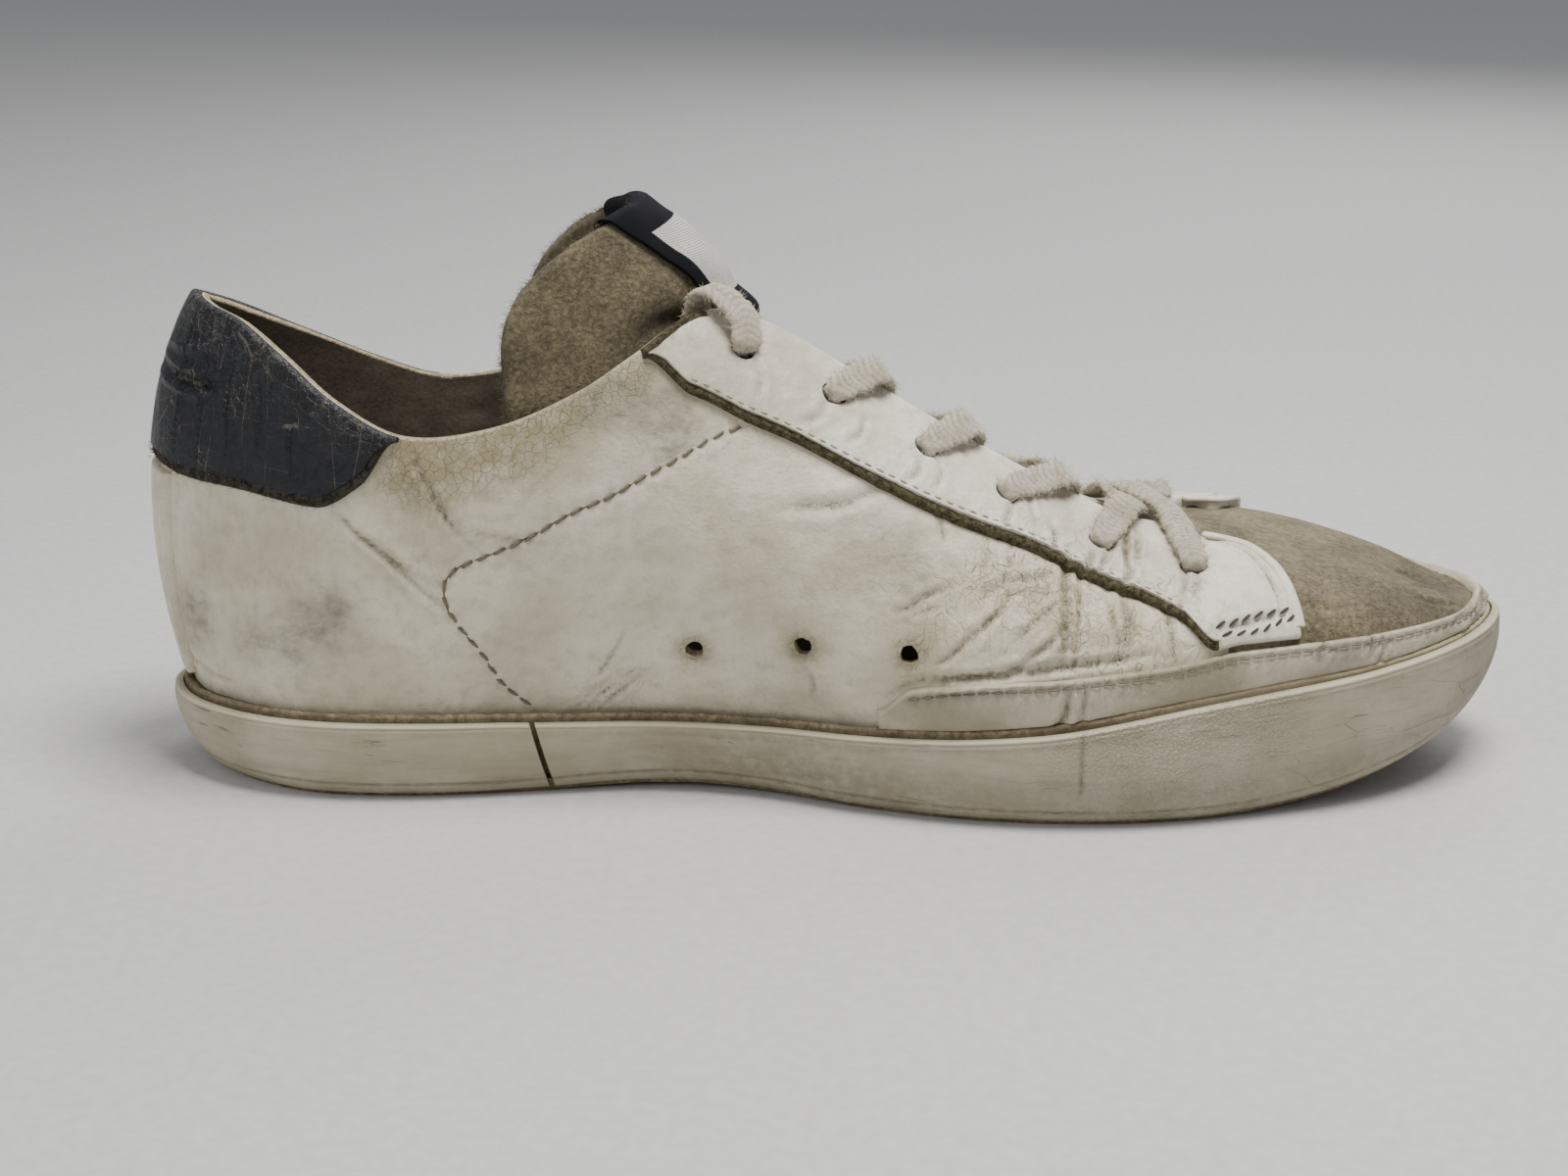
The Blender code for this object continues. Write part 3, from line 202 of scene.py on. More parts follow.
# Folds of the upper: rib rows and shares that each runs through, half width and depth
# in mm; a negative depth stands up as a ridge.
FOLDS = (
    (((5.1, 0.96), (5.2, 0.87), (5.35, 0.76), (5.45, 0.69), (5.7, 0.58)), 0.8, 0.35),
    (((3.85, 0.67), (4.2, 0.61), (4.55, 0.57), (4.8, 0.52), (5.0, 0.47), (5.25, 0.39)), 0.9, 0.45),
    (((4.65, 0.56), (5.0, 0.51), (5.2, 0.45)), 0.7, 0.35),
    (((5.55, 0.68), (5.75, 0.65), (6.1, 0.62), (6.4, 0.59)), 0.6, 0.2),
    (((4.8, 0.78), (5.05, 0.88), (5.2, 0.93)), 0.7, 0.2),
    (((0.4, 0.1), (0.95, 0.06), (1.65, 0.05), (2.0, 0.05)), 0.8, 0.25),
    (((6.3, 0.0), (6.45, 0.06), (6.65, 0.12), (6.85, 0.16)), 0.7, 0.4),
    (((6.4, 0.0), (6.55, 0.06), (6.8, 0.13), (7.05, 0.17)), 0.7, 0.45),
    (((6.5, 0.0), (6.7, 0.06), (6.95, 0.13), (7.1, 0.16)), 0.7, 0.35),
    (((6.4, 0.1), (6.6, 0.16), (6.8, 0.24), (7.0, 0.32)), 0.7, 0.3),
    (((6.3, 0.04), (6.5, 0.1), (6.65, 0.17)), 0.6, 0.25),
    (((6.95, 0.14), (7.2, 0.09), (7.5, 0.03)), 0.6, 0.15),
    (((9.35, 0.16), (9.5, 0.13), (9.5, 0.09), (9.3, 0.05)), 0.8, 0.3),
    (((9.45, 0.54), (10.35, 0.57), (11.05, 0.67)), 1.6, 0.35),
    (((10.85, 0.34), (11.1, 0.35), (11.45, 0.41), (11.9, 0.48)), 0.8, 0.35),
    (((11.8, 0.24), (12.05, 0.32), (12.35, 0.41), (12.5, 0.48)), 0.8, 0.4),
    (((11.35, 0.19), (11.7, 0.25), (12.0, 0.33), (12.3, 0.4)), 0.8, 0.4),
    (((12.1, 0.44), (12.5, 0.52), (12.9, 0.56), (13.25, 0.63)), 0.9, 0.4),
    (((12.5, 0.3), (12.85, 0.4), (13.2, 0.49)), 0.8, 0.35),
    (((12.25, 0.17), (12.65, 0.24), (12.95, 0.3), (13.2, 0.38)), 0.9, 0.4),
    (((11.7, 0.67), (11.75, 0.63), (11.75, 0.58)), 0.7, 0.25),
    (((12.3, 0.65), (12.25, 0.58), (12.15, 0.53)), 0.7, 0.25),
    (((12.6, 0.67), (12.55, 0.59), (12.45, 0.52)), 0.7, 0.25),
    (((13.35, 0.7), (13.25, 0.54), (13.2, 0.38), (13.1, 0.2)), 1.0, 0.65),
    (((13.5, 0.66), (13.45, 0.51), (13.35, 0.34), (13.25, 0.18)), 0.9, 0.5),
    (((13.6, 0.61), (13.55, 0.46), (13.4, 0.29)), 0.7, 0.35),
    (((13.85, 0.58), (13.9, 0.43), (13.95, 0.31), (13.85, 0.17)), 0.9, 0.4),
    (((14.1, 0.55), (14.1, 0.38), (13.95, 0.15)), 1.0, 0.6),
    (((14.25, 0.54), (14.15, 0.33), (14.1, 0.15)), 0.8, 0.35),
    (((14.75, 0.45), (14.85, 0.3), (14.9, 0.15)), 0.9, 0.4),
    (((10.65, 0.09), (11.2, 0.15), (12.0, 0.18), (12.8, 0.21), (13.65, 0.22), (14.55, 0.23)), 1.0, 0.5),
    (((11.05, 0.12), (11.7, 0.16), (12.5, 0.18), (13.15, 0.2)), 0.8, 0.4),
    (((11.05, 0.31), (11.2, 0.34), (11.55, 0.38)), 0.8, 0.2),
    (((19.8, 0.58), (20.3, 0.6), (20.8, 0.58)), 0.9, 0.35),
    (((19.5, 0.44), (20.05, 0.36), (20.7, 0.30)), 0.9, 0.35),
    (((20.3, 0.99), (20.7, 0.97), (20.75, 0.82)), 1.4, 0.5),
    (((17.4, 0.37), (17.85, 0.35), (18.4, 0.37)), 1.2, 0.2),
)
STAY_FOLDS = (
    (((14.3, 0.92), (14.2, 0.76), (14.2, 0.64), (14.1, 0.55)), 0.9, 0.6),
    (((14.45, 0.94), (14.4, 0.77), (14.25, 0.6)), 0.8, 0.5),
    (((13.7, 0.71), (13.55, 0.62), (13.45, 0.56)), 0.9, 0.45),
    (((14.0, 0.77), (13.8, 0.67), (13.7, 0.6)), 0.8, 0.35),
    (((11.6, 0.81), (11.5, 0.75), (11.3, 0.7)), 0.9, 0.3),
    (((11.8, 0.82), (11.8, 0.78), (11.7, 0.73)), 0.8, 0.3),
    (((12.7, 0.83), (12.55, 0.74), (12.5, 0.69)), 0.9, 0.3),
    (((12.85, 0.85), (12.9, 0.78), (12.95, 0.73)), 0.8, 0.25),
    (((15.6, 0.56), (15.45, 0.49), (15.25, 0.44)), 0.8, 0.3),
    (((10.6, 0.84), (10.4, 0.78), (10.15, 0.74)), 1.0, 0.25),
    (((9.7, 0.88), (9.7, 0.83), (9.6, 0.79)), 1.0, 0.2),
    (((16.05, 0.77), (16.45, 0.745), (16.74, 0.68), (16.86, 0.55), (16.9, 0.4), (16.9, 0.22)), 0.6, 0.5),
    (((15.7, 0.26), (16.2, 0.265), (16.6, 0.285), (17.1, 0.3)), 0.9, 0.3),
    (((11.0, 0.84), (10.9, 0.79), (10.7, 0.74)), 0.8, 0.3),
    (((13.1, 0.8), (13.15, 0.73), (13.1, 0.67)), 0.8, 0.35),
    (((15.3, 0.62), (15.15, 0.5), (15.0, 0.42)), 0.8, 0.35),
)
GUARD_FOLDS = (
    (((13.2, 0.12), (13.15, 0.03), (13.0, 0.0)), 1.0, 0.4),
    (((13.45, 0.11), (13.4, 0.0)), 0.8, 0.3),
    (((18.4, 0.22), (18.4, 0.12), (18.35, 0.05)), 0.9, 0.4),
    (((18.55, 0.21), (18.55, 0.08), (18.5, 0.0)), 0.8, 0.3),
    (((20.25, 0.13), (21.2, 0.23), (22.0, 0.17)), 1.0, 0.6),
    (((20.6, 0.05), (21.35, 0.08), (21.85, 0.1)), 1.0, 0.6),
    (((17.6, 0.18), (17.45, 0.07)), 1.0, 0.3),
)
TAB_FOLDS = (
    (((0.1, 0.80), (0.8, 0.79), (1.4, 0.795), (1.9, 0.82)), 1.2, 0.5),
    (((0.3, 0.86), (1.0, 0.87), (1.8, 0.89)), 1.5, -0.3),
    (((0.9, 0.95), (1.0, 0.8), (1.05, 0.62)), 0.5, 0.25),
    (((1.45, 0.93), (1.5, 0.78), (1.5, 0.6)), 0.5, 0.25),
    (((2.05, 0.92), (2.0, 0.78), (2.05, 0.62)), 0.5, 0.22),
    (((2.6, 0.9), (2.65, 0.8), (2.6, 0.68)), 0.5, 0.2),
    (((3.3, 0.88), (3.2, 0.78), (3.25, 0.68)), 0.5, 0.2),
    (((-1.2, 0.93), (-1.25, 0.78), (-1.2, 0.62)), 0.5, 0.25),
    (((-2.3, 0.9), (-2.25, 0.8), (-2.3, 0.66)), 0.5, 0.22),
)
# Broad swells: rib row, share, radius and height in mm
SWELLS = (
    (11.2, 0.43, 14, -1.1), (11.9, 0.30, 10, 0.6), (12.6, 0.36, 9, 0.5),
    (9.3, 0.32, 16, -0.7), (8.2, 0.45, 18, 0.5), (13.0, 0.30, 7, 0.6),
    (13.6, 0.35, 5, 0.7), (14.5, 0.33, 6, 0.6), (6.0, 0.30, 15, 0.5),
    (4.6, 0.30, 14, 0.4), (2.4, 0.30, 12, -0.6), (20.6, 0.90, 9, -0.9),
    (19.2, 0.75, 10, 0.6), (6.6, 0.85, 12, -0.5), (15.4, 0.25, 6, 0.4),
)
# Stains: rib row, share, radius in mm, strength
GRIME = (
    (1.35, 0.24, 6, 0.55), (1.15, 0.17, 7, 0.6), (2.4, 0.18, 6, 0.55), (3.5, 0.27, 8, 0.75),
    (3.9, 0.36, 5, 0.45), (3.15, 0.18, 6, 0.4), (1.7, 0.41, 6, 0.3), (2.7, 0.45, 5, 0.2),
    (7.8, 0.90, 7, 0.8), (8.35, 0.81, 6, 0.9), (8.15, 0.76, 4, 0.5), (7.2, 0.95, 5, 0.5),
    (11.25, 0.42, 2.2, 1.0), (11.4, 0.46, 6, 0.5), (10.8, 0.53, 9, 0.35), (11.2, 0.52, 5, 0.4),
    (12.6, 0.22, 8, 0.35), (13.1, 0.3, 6, 0.3), (9.0, 0.1, 12, 0.3), (5.8, 0.1, 10, 0.2),
    (-3.0, 0.25, 12, 0.6), (-8.0, 0.2, 14, 0.4), (-13.5, 0.25, 12, 0.5), (-6.5, 0.9, 9, 0.4),
)
# Places worn down to the tan leather, in the same columns
YELLOWING = (
    (5.35, 0.98, 6, 0.8), (6.0, 0.98, 7, 0.9), (6.7, 0.97, 7, 0.9), (7.4, 0.98, 7, 0.7),
    (5.1, 0.92, 6, 0.6), (4.8, 0.8, 7, 0.5), (5.4, 0.85, 8, 0.6), (12.9, 0.52, 9, 0.6),
    (13.35, 0.34, 8, 0.4), (12.1, 0.5, 9, 0.5), (14.1, 0.38, 7, 0.3), (8.0, 0.95, 5, 0.7),
    (6.2, 0.88, 10, 0.5), (11.55, 0.32, 6, 0.35), (-6.0, 0.97, 9, 0.8), (-12.5, 0.5, 12, 0.5),
)
# Finely wrinkled places, in the same columns
FLEXED = (
    (12.2, 0.4, 13, 0.7), (13.2, 0.4, 13, 1.0), (14.1, 0.35, 12, 1.0), (14.9, 0.3, 8, 0.6),
    (12.8, 0.6, 9, 0.7), (13.9, 0.65, 12, 0.8), (11.3, 0.35, 9, 0.4), (6.8, 0.08, 9, 0.7),
    (4.9, 0.55, 7, 0.6), (5.3, 0.8, 9, 0.6), (11.6, 0.8, 7, 0.6), (12.6, 0.8, 7, 0.6),
    (13.5, 0.12, 7, 0.5), (18.4, 0.12, 6, 0.7), (20.6, 0.1, 8, 0.7), (15.4, 0.5, 7, 0.6),
    (-12.5, 0.4, 15, 0.8), (-13.8, 0.4, 14, 0.9), (-5.3, 0.7, 12, 0.6), (-13.9, 0.7, 12, 0.7),
)
# Seams: rib rows and shares that they run through
QUARTER_SEAM = (
    (9.25, 0.73), (8.35, 0.72), (7.75, 0.71), (7.2, 0.69), (6.7, 0.67), (6.2, 0.62),
    (5.8, 0.58), (5.45, 0.54), (5.3, 0.5), (5.25, 0.46), (5.25, 0.4), (5.35, 0.32),
    (5.5, 0.23), (5.65, 0.11), (5.85, 0.03), (5.95, 0.0),
)
# Darker suede: rib row, share, radius in mm, strength
TOE_STAINS = (
    (20.7, 0.8, 7, 0.8), (21.6, 0.7, 7, 0.5), (18.6, 0.3, 9, 0.3), (19.6, 0.45, 8, 0.4),
    (-20.5, 0.7, 10, 0.4),
)
TAB_SCUFFS = ((1.2, 0.97, 6, 0.8), (2.2, 0.8, 4, 0.6), (1.6, 0.62, 3, 0.7))
FRONT_SEAMS = (
    ((15.65, 0.28), (16.05, 0.28), (16.4, 0.3), (16.75, 0.31), (17.15, 0.32)),
    ((15.75, 0.24), (16.2, 0.23), (16.55, 0.24), (16.9, 0.27), (17.15, 0.28)),
)
PIPING = ((16.1, 0.80), (16.5, 0.775), (16.85, 0.73), (17.08, 0.60), (17.14, 0.45), (17.16, 0.24))
SEAM_PITCH = 3.6 * MM
GUARD_PITCH = 2.8 * MM
FOLD_GAIN = 2.5
FOLD_MASK_DEPTH = 0.9 * MM
GUARD_SEAM_INSET = -1.7 * MM
VENT_RAGGED = 0.05
LOOP_SAMPLES = 24
# Materials of a sheet's faces: its front, its back, its cut edge and a second front
FRONT, BACK, CUT, SECOND = range(4)
# Lights: name, place, aim, size in metres, watts
LIGHTS = (
    ("key", (0.25, -0.12, 0.8), (0.09, 0.0, 0.04), 0.34, 9.0),
    ("side", (-0.75, -0.7, 0.55), (0.09, 0.0, 0.05), 0.7, 3.6),
    ("far", (0.5, 0.9, 0.7), (0.09, 0.0, 0.05), 0.7, 6.0),
)
LIGHT_COLOUR = (1.0, 0.98, 0.95)
SKY_COLOUR = (0.95, 0.97, 1.0, 1)
SKY_STRENGTH = 0.34
FLOOR_REACH = 6.0
CAMERA_PLACE = (0.133957 - HEEL_SEAT, -0.540665, 0.206982)
CAMERA_PITCH = 17.5
CAMERA_LENS = 60.75


# Numbers


def unit(vectors):
    """Vectors of length one."""
    return vectors / np.maximum(np.linalg.norm(vectors, axis=-1, keepdims=True), 1e-12)


def eased(low, high, value):
    """Eased 0 to 1 between two limits."""
    share = np.clip((np.asarray(value, float) - low) / (high - low), 0, 1)
    return share * share * (3 - 2 * share)


def bell(value, middle, width):
    """1 at the middle, falling off smoothly over a width."""
    return np.exp(-(((value - middle) / width) ** 2))


def travelled(line):
    """Length run along a polyline at each of its points."""
    return np.concatenate(([0.0], np.cumsum(np.linalg.norm(np.diff(line, axis=0), axis=-1))))


def catmull(values, at, start_sign=1.0, end_sign=1.0):
    """Catmull-Rom through values at whole numbers, mirrored past either end."""
    values = np.asarray(values, float)
    last = len(values) - 1
    before = [values[0] + (values[min(i, last)] - values[0]) * start_sign for i in (2, 1)]
    after = [values[last] + (values[max(last - i, 0)] - values[last]) * end_sign for i in (1, 2)]
    padded = np.concatenate((before, values, after))
    at = np.asarray(at, float)
    base = np.clip(np.floor(at), -1, last).astype(int)
    f = at - base
    if padded.ndim > 1:
        f = f[..., None]
    p0, p1, p2, p3 = (padded[base + 2 + step] for step in (-1, 0, 1, 2))
    return 0.5 * (
        2 * p1
        + (p2 - p0) * f
        + (2 * p0 - 5 * p1 + 4 * p2 - p3) * f ** 2
        + (3 * p1 - p0 - 3 * p2 + p3) * f ** 3
    )


def table_value(table, at, column=1):
    """Eased value between the rows of a table."""
    xs = np.array([row[0] for row in table])
    at = np.clip(at, xs[0], xs[-1])
    index = np.clip(np.searchsorted(xs, at, side="right") - 1, 0, len(xs) - 2)
    f = (at - xs[index]) / (xs[index + 1] - xs[index])
    return catmull([row[column] for row in table], index + f)


def ripple(points, size, seed, waves=5):
    """Soft undulation from about -1 to 1; size is its wavelength."""
    rng = np.random.default_rng(seed)
    total = 0.0
    for _ in range(waves):
        direction = unit(rng.normal(size=3))
        length = size * rng.uniform(0.7, 1.4)
        total = total + np.sin(points @ direction * TAU / length + rng.uniform(0, TAU))
    return total * (1.6 / waves)


# The sole's outline and the upper's ribs


def smooth_loop(points, samples=LOOP_SAMPLES):
    """Centripetal Catmull-Rom through a closed list of points."""
    count = len(points)
    loop = []
    for i in range(count):
        p0, p1, p2, p3 = (points[(i + step) % count] for step in (-1, 0, 1, 2))
        t0 = 0.0
        t1 = t0 + np.linalg.norm(p1 - p0) ** 0.5
        t2 = t1 + np.linalg.norm(p2 - p1) ** 0.5
        t3 = t2 + np.linalg.norm(p3 - p2) ** 0.5
        t = np.linspace(t1, t2, samples, endpoint=False)[:, None]
        a1 = p0 * (t1 - t) / (t1 - t0) + p1 * (t - t0) / (t1 - t0)
        a2 = p1 * (t2 - t) / (t2 - t1) + p2 * (t - t1) / (t2 - t1)
        a3 = p2 * (t3 - t) / (t3 - t2) + p3 * (t - t2) / (t3 - t2)
        b1 = a1 * (t2 - t) / (t2 - t0) + a2 * (t - t0) / (t2 - t0)
        b2 = a2 * (t3 - t) / (t3 - t1) + a3 * (t - t1) / (t3 - t1)
        loop.append(b1 * (t2 - t) / (t2 - t1) + b2 * (t - t1) / (t2 - t1))
    return np.concatenate(loop)


station, medial, lateral = np.array(OUTLINE).T
half_inner = np.stack((station * SHOE_LENGTH, -medial * BALL_WIDTH), 1)
half_outer = np.stack((station * SHOE_LENGTH, lateral * BALL_WIDTH), 1)
LOOP = smooth_loop(np.concatenate((half_inner, half_outer[-2:0:-1])))
CLOSED = np.vstack((LOOP, LOOP[:1]))
TRAVEL = travelled(CLOSED)
TOE_TRAVEL = TRAVEL[(len(OUTLINE) - 1) * LOOP_SAMPLES]


def outline_at(side, share, inset):
    """Point and outward normal of the sole's outline, in the plane."""
    total = TRAVEL[-1]
    travel = np.where(side < 0, share * TOE_TRAVEL, total - share * (total - TOE_TRAVEL))
    spots = [(travel + step) % total for step in (-0.8 * MM, 0.0, 0.8 * MM)]
    before, here, after = (
        np.stack([np.interp(s, TRAVEL, CLOSED[:, axis]) for axis in (0, 1)], -1) for s in spots
    )
    along = unit(after - before)
    outward = np.stack((along[..., 1], -along[..., 0]), -1)
    return here - outward * inset, outward


def rib_shares(side):
    """Foot of each rib row as a share of the way round its side."""
    shares = np.linspace(0.0, 1.0, 400)
    reached = np.maximum.accumulate(outline_at(side, shares, UPPER_INSET)[0][:, 0])
    stations = [row[0] * SHOE_LENGTH for row in RIBS[1:-1]]
    return [0.0] + list(np.interp(stations, reached, shares)) + [1.0]


RIB_SHARES = {-1: rib_shares(-1), 1: rib_shares(1)}
RIB_TABLE = {name: [row[i] for row in RIBS] for i, name in enumerate(RIB_COLUMNS)}


def fold(row):
    """Side (-1 inner, 1 outer) and plain row of a running row."""
    row = (np.asarray(row, float) + TOE_ROW) % (2 * TOE_ROW) - TOE_ROW
    return np.where(row < 0, 1.0, -1.0), np.abs(row)


def foot_line(row, inset):
    """Point in space at height 0 and outward normal of the outline at a rib row."""
    side, k = fold(row)
    inner = catmull(RIB_SHARES[-1], k, -1, -1)
    outer = catmull(RIB_SHARES[1], k, -1, -1)
    point, outward = outline_at(side, np.where(side < 0, inner, outer), inset)
    flat = np.zeros(point.shape[:-1] + (1,))
    return np.concatenate((point, flat), -1), np.concatenate((outward, flat), -1)


def floor_height(x):
    """Underside of the sole above the floor: arch and toe spring."""
    at = x / SHOE_LENGTH
    phase = np.clip((at - 0.25) / 0.28, 0, 1)
    arch = ARCH_RISE * np.sin(math.pi * phase) ** 2
    return arch + TOE_SPRING * (np.maximum(at - 0.74, 0) / 0.26) ** 2


def foxing_top(x):
    """Height of the side band's top edge."""
    return FOXING_HEIGHT * table_value(FOXING_TOP, x / SHOE_LENGTH)


def ledge_top(x):
    """Height of the cup's rim, where the upper comes out of the sole."""
    return foxing_top(x) + CUP_LEDGE * np.minimum(1.0, 4.0 * (1.06 - x / SHOE_LENGTH))


def midsole_top(x):
    """Height of the surface that the insole lies on."""
    to_toe = eased(0, 1, (x / SHOE_LENGTH - 0.2) / 0.45)
    thickness = MIDSOLE_HEEL + (MIDSOLE_TOE - MIDSOLE_HEEL) * to_toe
    return floor_height(x) + OUTSOLE_THICKNESS + GAP + thickness


def edge_tuck(x, height):
    """How far the sole's side is rolled in at a height above its underside."""
    heel = np.maximum(0.0, 1 - x / HEEL_ROLL_LENGTH)
    depth = EDGE_TUCK * (1 + HEEL_ROLL_DEPTH * heel)
    reach = EDGE_TUCK_HEIGHT * (1 + HEEL_ROLL_REACH * heel)
    return depth * np.maximum(0.0, 1 - height / reach) ** 2


def ridge_shift(x):
    """Sideways swing of the middle line towards the toe."""
    start = 0.52 * SHOE_LENGTH
    return TOE_SWING * np.maximum(0.0, (x - start) / (SHOE_LENGTH - start)) ** 1.5


def rib_value(name, k, start_sign=1.0):
    """A column of the rib table at any row."""
    return catmull(RIB_TABLE[name], k, start_sign, 1.0)


def top_edge(row):
    """Point of the upper's top edge: collar, throat, then the ridge of the vamp."""
    side, k = fold(row)
    x = rib_value("top_x", k) * SHOE_LENGTH
    open_here = k < THROAT_ROW
    opening = np.where(open_here, np.maximum(0, rib_value("opening", k, -1.0)), 0) * BALL_WIDTH
    drop = np.where(open_here & (side > 0), np.maximum(0, rib_value("drop", k, -1.0)), 0)
    height = (rib_value("top_z", k) - drop) * UPPER_HEIGHT
    return np.stack((x, ridge_shift(x) + side * opening, height), -1)


def ridge_slope(k):
    """Rise of the vamp's ridge per length."""
    k = np.maximum(k, THROAT_ROW + 0.25)
    rise = (rib_value("top_z", k + 0.2) - rib_value("top_z", k - 0.2)) * UPPER_HEIGHT
    run = (rib_value("top_x", k + 0.2) - rib_value("top_x", k - 0.2)) * SHOE_LENGTH
    return rise / run


def rib_handles(row):
    """The four control points of a rib and its direction at the top edge."""
    _, k = fold(row)
    foot, outward = foot_line(row, UPPER_INSET)
    foot[..., 2] = ledge_top(foot[..., 0])
    top = top_edge(row)
    inward = np.stack(
        (top[..., 0] - foot[..., 0], ridge_shift(top[..., 0]) - foot[..., 1], 0 * k), -1
    )
    inward = unit(inward)
    crown = np.radians(rib_value("crown", k))[..., None]
    lean = np.radians(rib_value("lean", k))[..., None]
    reach = np.linalg.norm(top - foot, axis=-1, keepdims=True)
    slope = ridge_slope(np.minimum(k, TOE_ROW - 0.3))[..., None]
    lift = np.sin(crown) + slope * inward[..., :1] * np.cos(crown)
    up = np.array((0.0, 0.0, 1.0))
    arrival = unit(inward * np.cos(crown) + up * lift)
    start = outward * np.sin(lean) + up * np.cos(lean)
    first = foot + start * reach * rib_value("foot_pull", k)[..., None]
    second = top - arrival * reach * rib_value("top_pull", k)[..., None]
    return foot, first, second, top, arrival, reach


def upper_point(row, share):
    """The upper's outer face at broadcast rows and shares."""
    foot, first, second, top, arrival, reach = rib_handles(row)
    share = np.asarray(share, float)
    t = np.clip(share, 0, 1)[..., None]
    s = 1 - t
    point = foot * s ** 3 + first * 3 * s * s * t + second * 3 * s * t * t + top * t ** 3
    point = point + arrival * reach * np.maximum(share - 1, 0)[..., None]
    return point + np.array((0, 0, 1.0)) * reach * np.minimum(share, 0)[..., None]


def upper_normal(row, share):
    """Outward normal of the upper's outer face."""
    row = np.asarray(row, float)
    share = np.clip(share, 0.02, 0.985)
    across = upper_point(row + 0.03, share) - upper_point(row - 0.03, share)
    up = upper_point(row, share + 0.015) - upper_point(row, share - 0.015)
    return unit(np.cross(across, up))


def lifted(row, share, lift):
    """Points at a height over the upper's outer face, negative inside."""
    return upper_point(row, share) + upper_normal(row, share) * np.asarray(lift)[..., None]


def route(spots, lift=0.0, samples=10):
    """Dense points on the upper through a list of rib rows and shares."""
    at = np.linspace(0, len(spots) - 1, (len(spots) - 1) * samples + 1)
    row, share = catmull(spots, at, -1, -1).T
    return lifted(row, share, np.full(len(row), lift))


# Relief and stains on the upper


def mirrored(folds, shift=0.12):
    """Folds for the side that the photo hides, like those of the side it shows."""
    kept = [item for i, item in enumerate(folds) if i % 3 != 1]
    return tuple(
        (tuple((-(row + shift), share) for row, share in spots), width, depth * 0.8)
        for spots, width, depth in kept
    )


def fold_height(points, folds):
    """Height of soft troughs and ridges at points of the upper."""
    height = np.zeros(points.shape[:-1])
    for spots, width, depth in folds:
        line = route(spots)
        width = width * MM
        reach = 4 * width
        near = np.all((points > line.min(0) - reach) & (points < line.max(0) + reach), axis=-1)
        if not near.any():
            continue
        apart = np.linalg.norm(points[near][:, None] - line[None], axis=-1)
        nearest = apart.argmin(1)
        taper = np.sin(math.pi * (nearest + 0.5) / len(line)) ** 0.6
        u = apart.min(1) / width
        profile = 0.42 * bell(u, 1.75, 0.75) - 0.6 * bell(u, 0, 1) - 0.4 * bell(u, 0, 0.35)
        height[near] += FOLD_GAIN * depth * MM * taper * profile
    return height


def spots_value(points, spots, scale=1.0):
    """Sum of soft round spots given by rib row, share, radius in mm and strength."""
    total = np.zeros(points.shape[:-1])
    for row, share, radius, strength in spots:
        apart = np.linalg.norm(points - upper_point(row, share), axis=-1)
        total += strength * scale * bell(apart, 0, radius * MM)
    return total


ALL_FOLDS = FOLDS + mirrored(FOLDS)


def seam_relief(points, spots, pitch, depth):
    """Trough and puckers along a seam, on both sides of the shoe."""
    height = np.zeros(points.shape[:-1])
    for sign in (1, -1):
        line = route([(sign * row, share) for row, share in spots])
        travel = travelled(line)
        near = np.all((points > line.min(0) - 6 * MM) & (points < line.max(0) + 6 * MM), axis=-1)
        apart = np.linalg.norm(points[near][:, None] - line[None], axis=-1)
        along = travel[apart.argmin(1)] / pitch
        distance = apart.min(1) / MM
        trough = -bell(distance, 0, 0.9)
        pucker = 0.45 * np.cos(TAU * along) * bell(distance, 1.1, 0.9)
        height[near] += (trough + pucker) * depth * MM
    return height


def base_relief(points):
    """Folds, swells and soft waviness of the leather at points of the upper."""
    swell = spots_value(points, [(r, s, size, h * MM) for r, s, size, h in SWELLS])
    swell += spots_value(points, [(-r - 0.1, s, size, 0.8 * h * MM) for r, s, size, h in SWELLS])
    waves = ripple(points, 38 * MM, 3) * 0.30 * MM + ripple(points, 11 * MM, 5) * 0.07 * MM
    return fold_height(points, ALL_FOLDS) + swell + waves


# Mesh helpers


def grid_faces(rows, columns, wrap=False):
    """Quads of a grid of points stored row by row."""
    i = np.arange(rows if wrap else rows - 1)[:, None]
    j = np.arange(columns - 1)[None]
    a = i * columns + j
    b = ((i + 1) % rows) * columns + j
    return np.stack((a, b, b + 1, a + 1), -1).reshape(-1, 4)


def rim_edges(faces):
    """Edges that only one face uses, in that face's own direction."""
    edges = np.concatenate([faces[:, [k, (k + 1) % 4]] for k in range(4)])
    edges = edges[edges[:, 0] != edges[:, 1]]
    low, high = edges.min(1), edges.max(1)
    keys = low * (faces.max() + 1) + high
    _, index, count = np.unique(keys, return_index=True, return_counts=True)
    return edges[index[count == 1]]


def punch(points, faces, holes):
    """Open round holes in a sheet: a mask of the kept faces; edges move to the circles."""
    keep = np.ones(len(faces), bool)
    for centre, normal, radius, ragged in holes:
        offset = points - centre
        depth = offset @ normal
        flat = offset - depth[:, None] * normal
        distance = np.linalg.norm(flat, axis=1)
        turn = np.arctan2(flat[:, 2], flat[:, 0]) + 40 * centre[0] / SHOE_LENGTH
        limit = radius * (1 + ragged * (np.sin(3 * turn) + np.sin(7 * turn + 2)))
        near = np.abs(depth) < 6 * MM
        middle = np.where(near, distance, 1.0)[faces].mean(1)
        dropped = middle < limit[faces].mean(1)
        ring = np.intersect1d(np.unique(faces[dropped]), np.unique(faces[keep & ~dropped]))
        keep &= ~dropped
        points[ring] += flat[ring] * (limit[ring] / distance[ring] - 1)[:, None]
    return keep


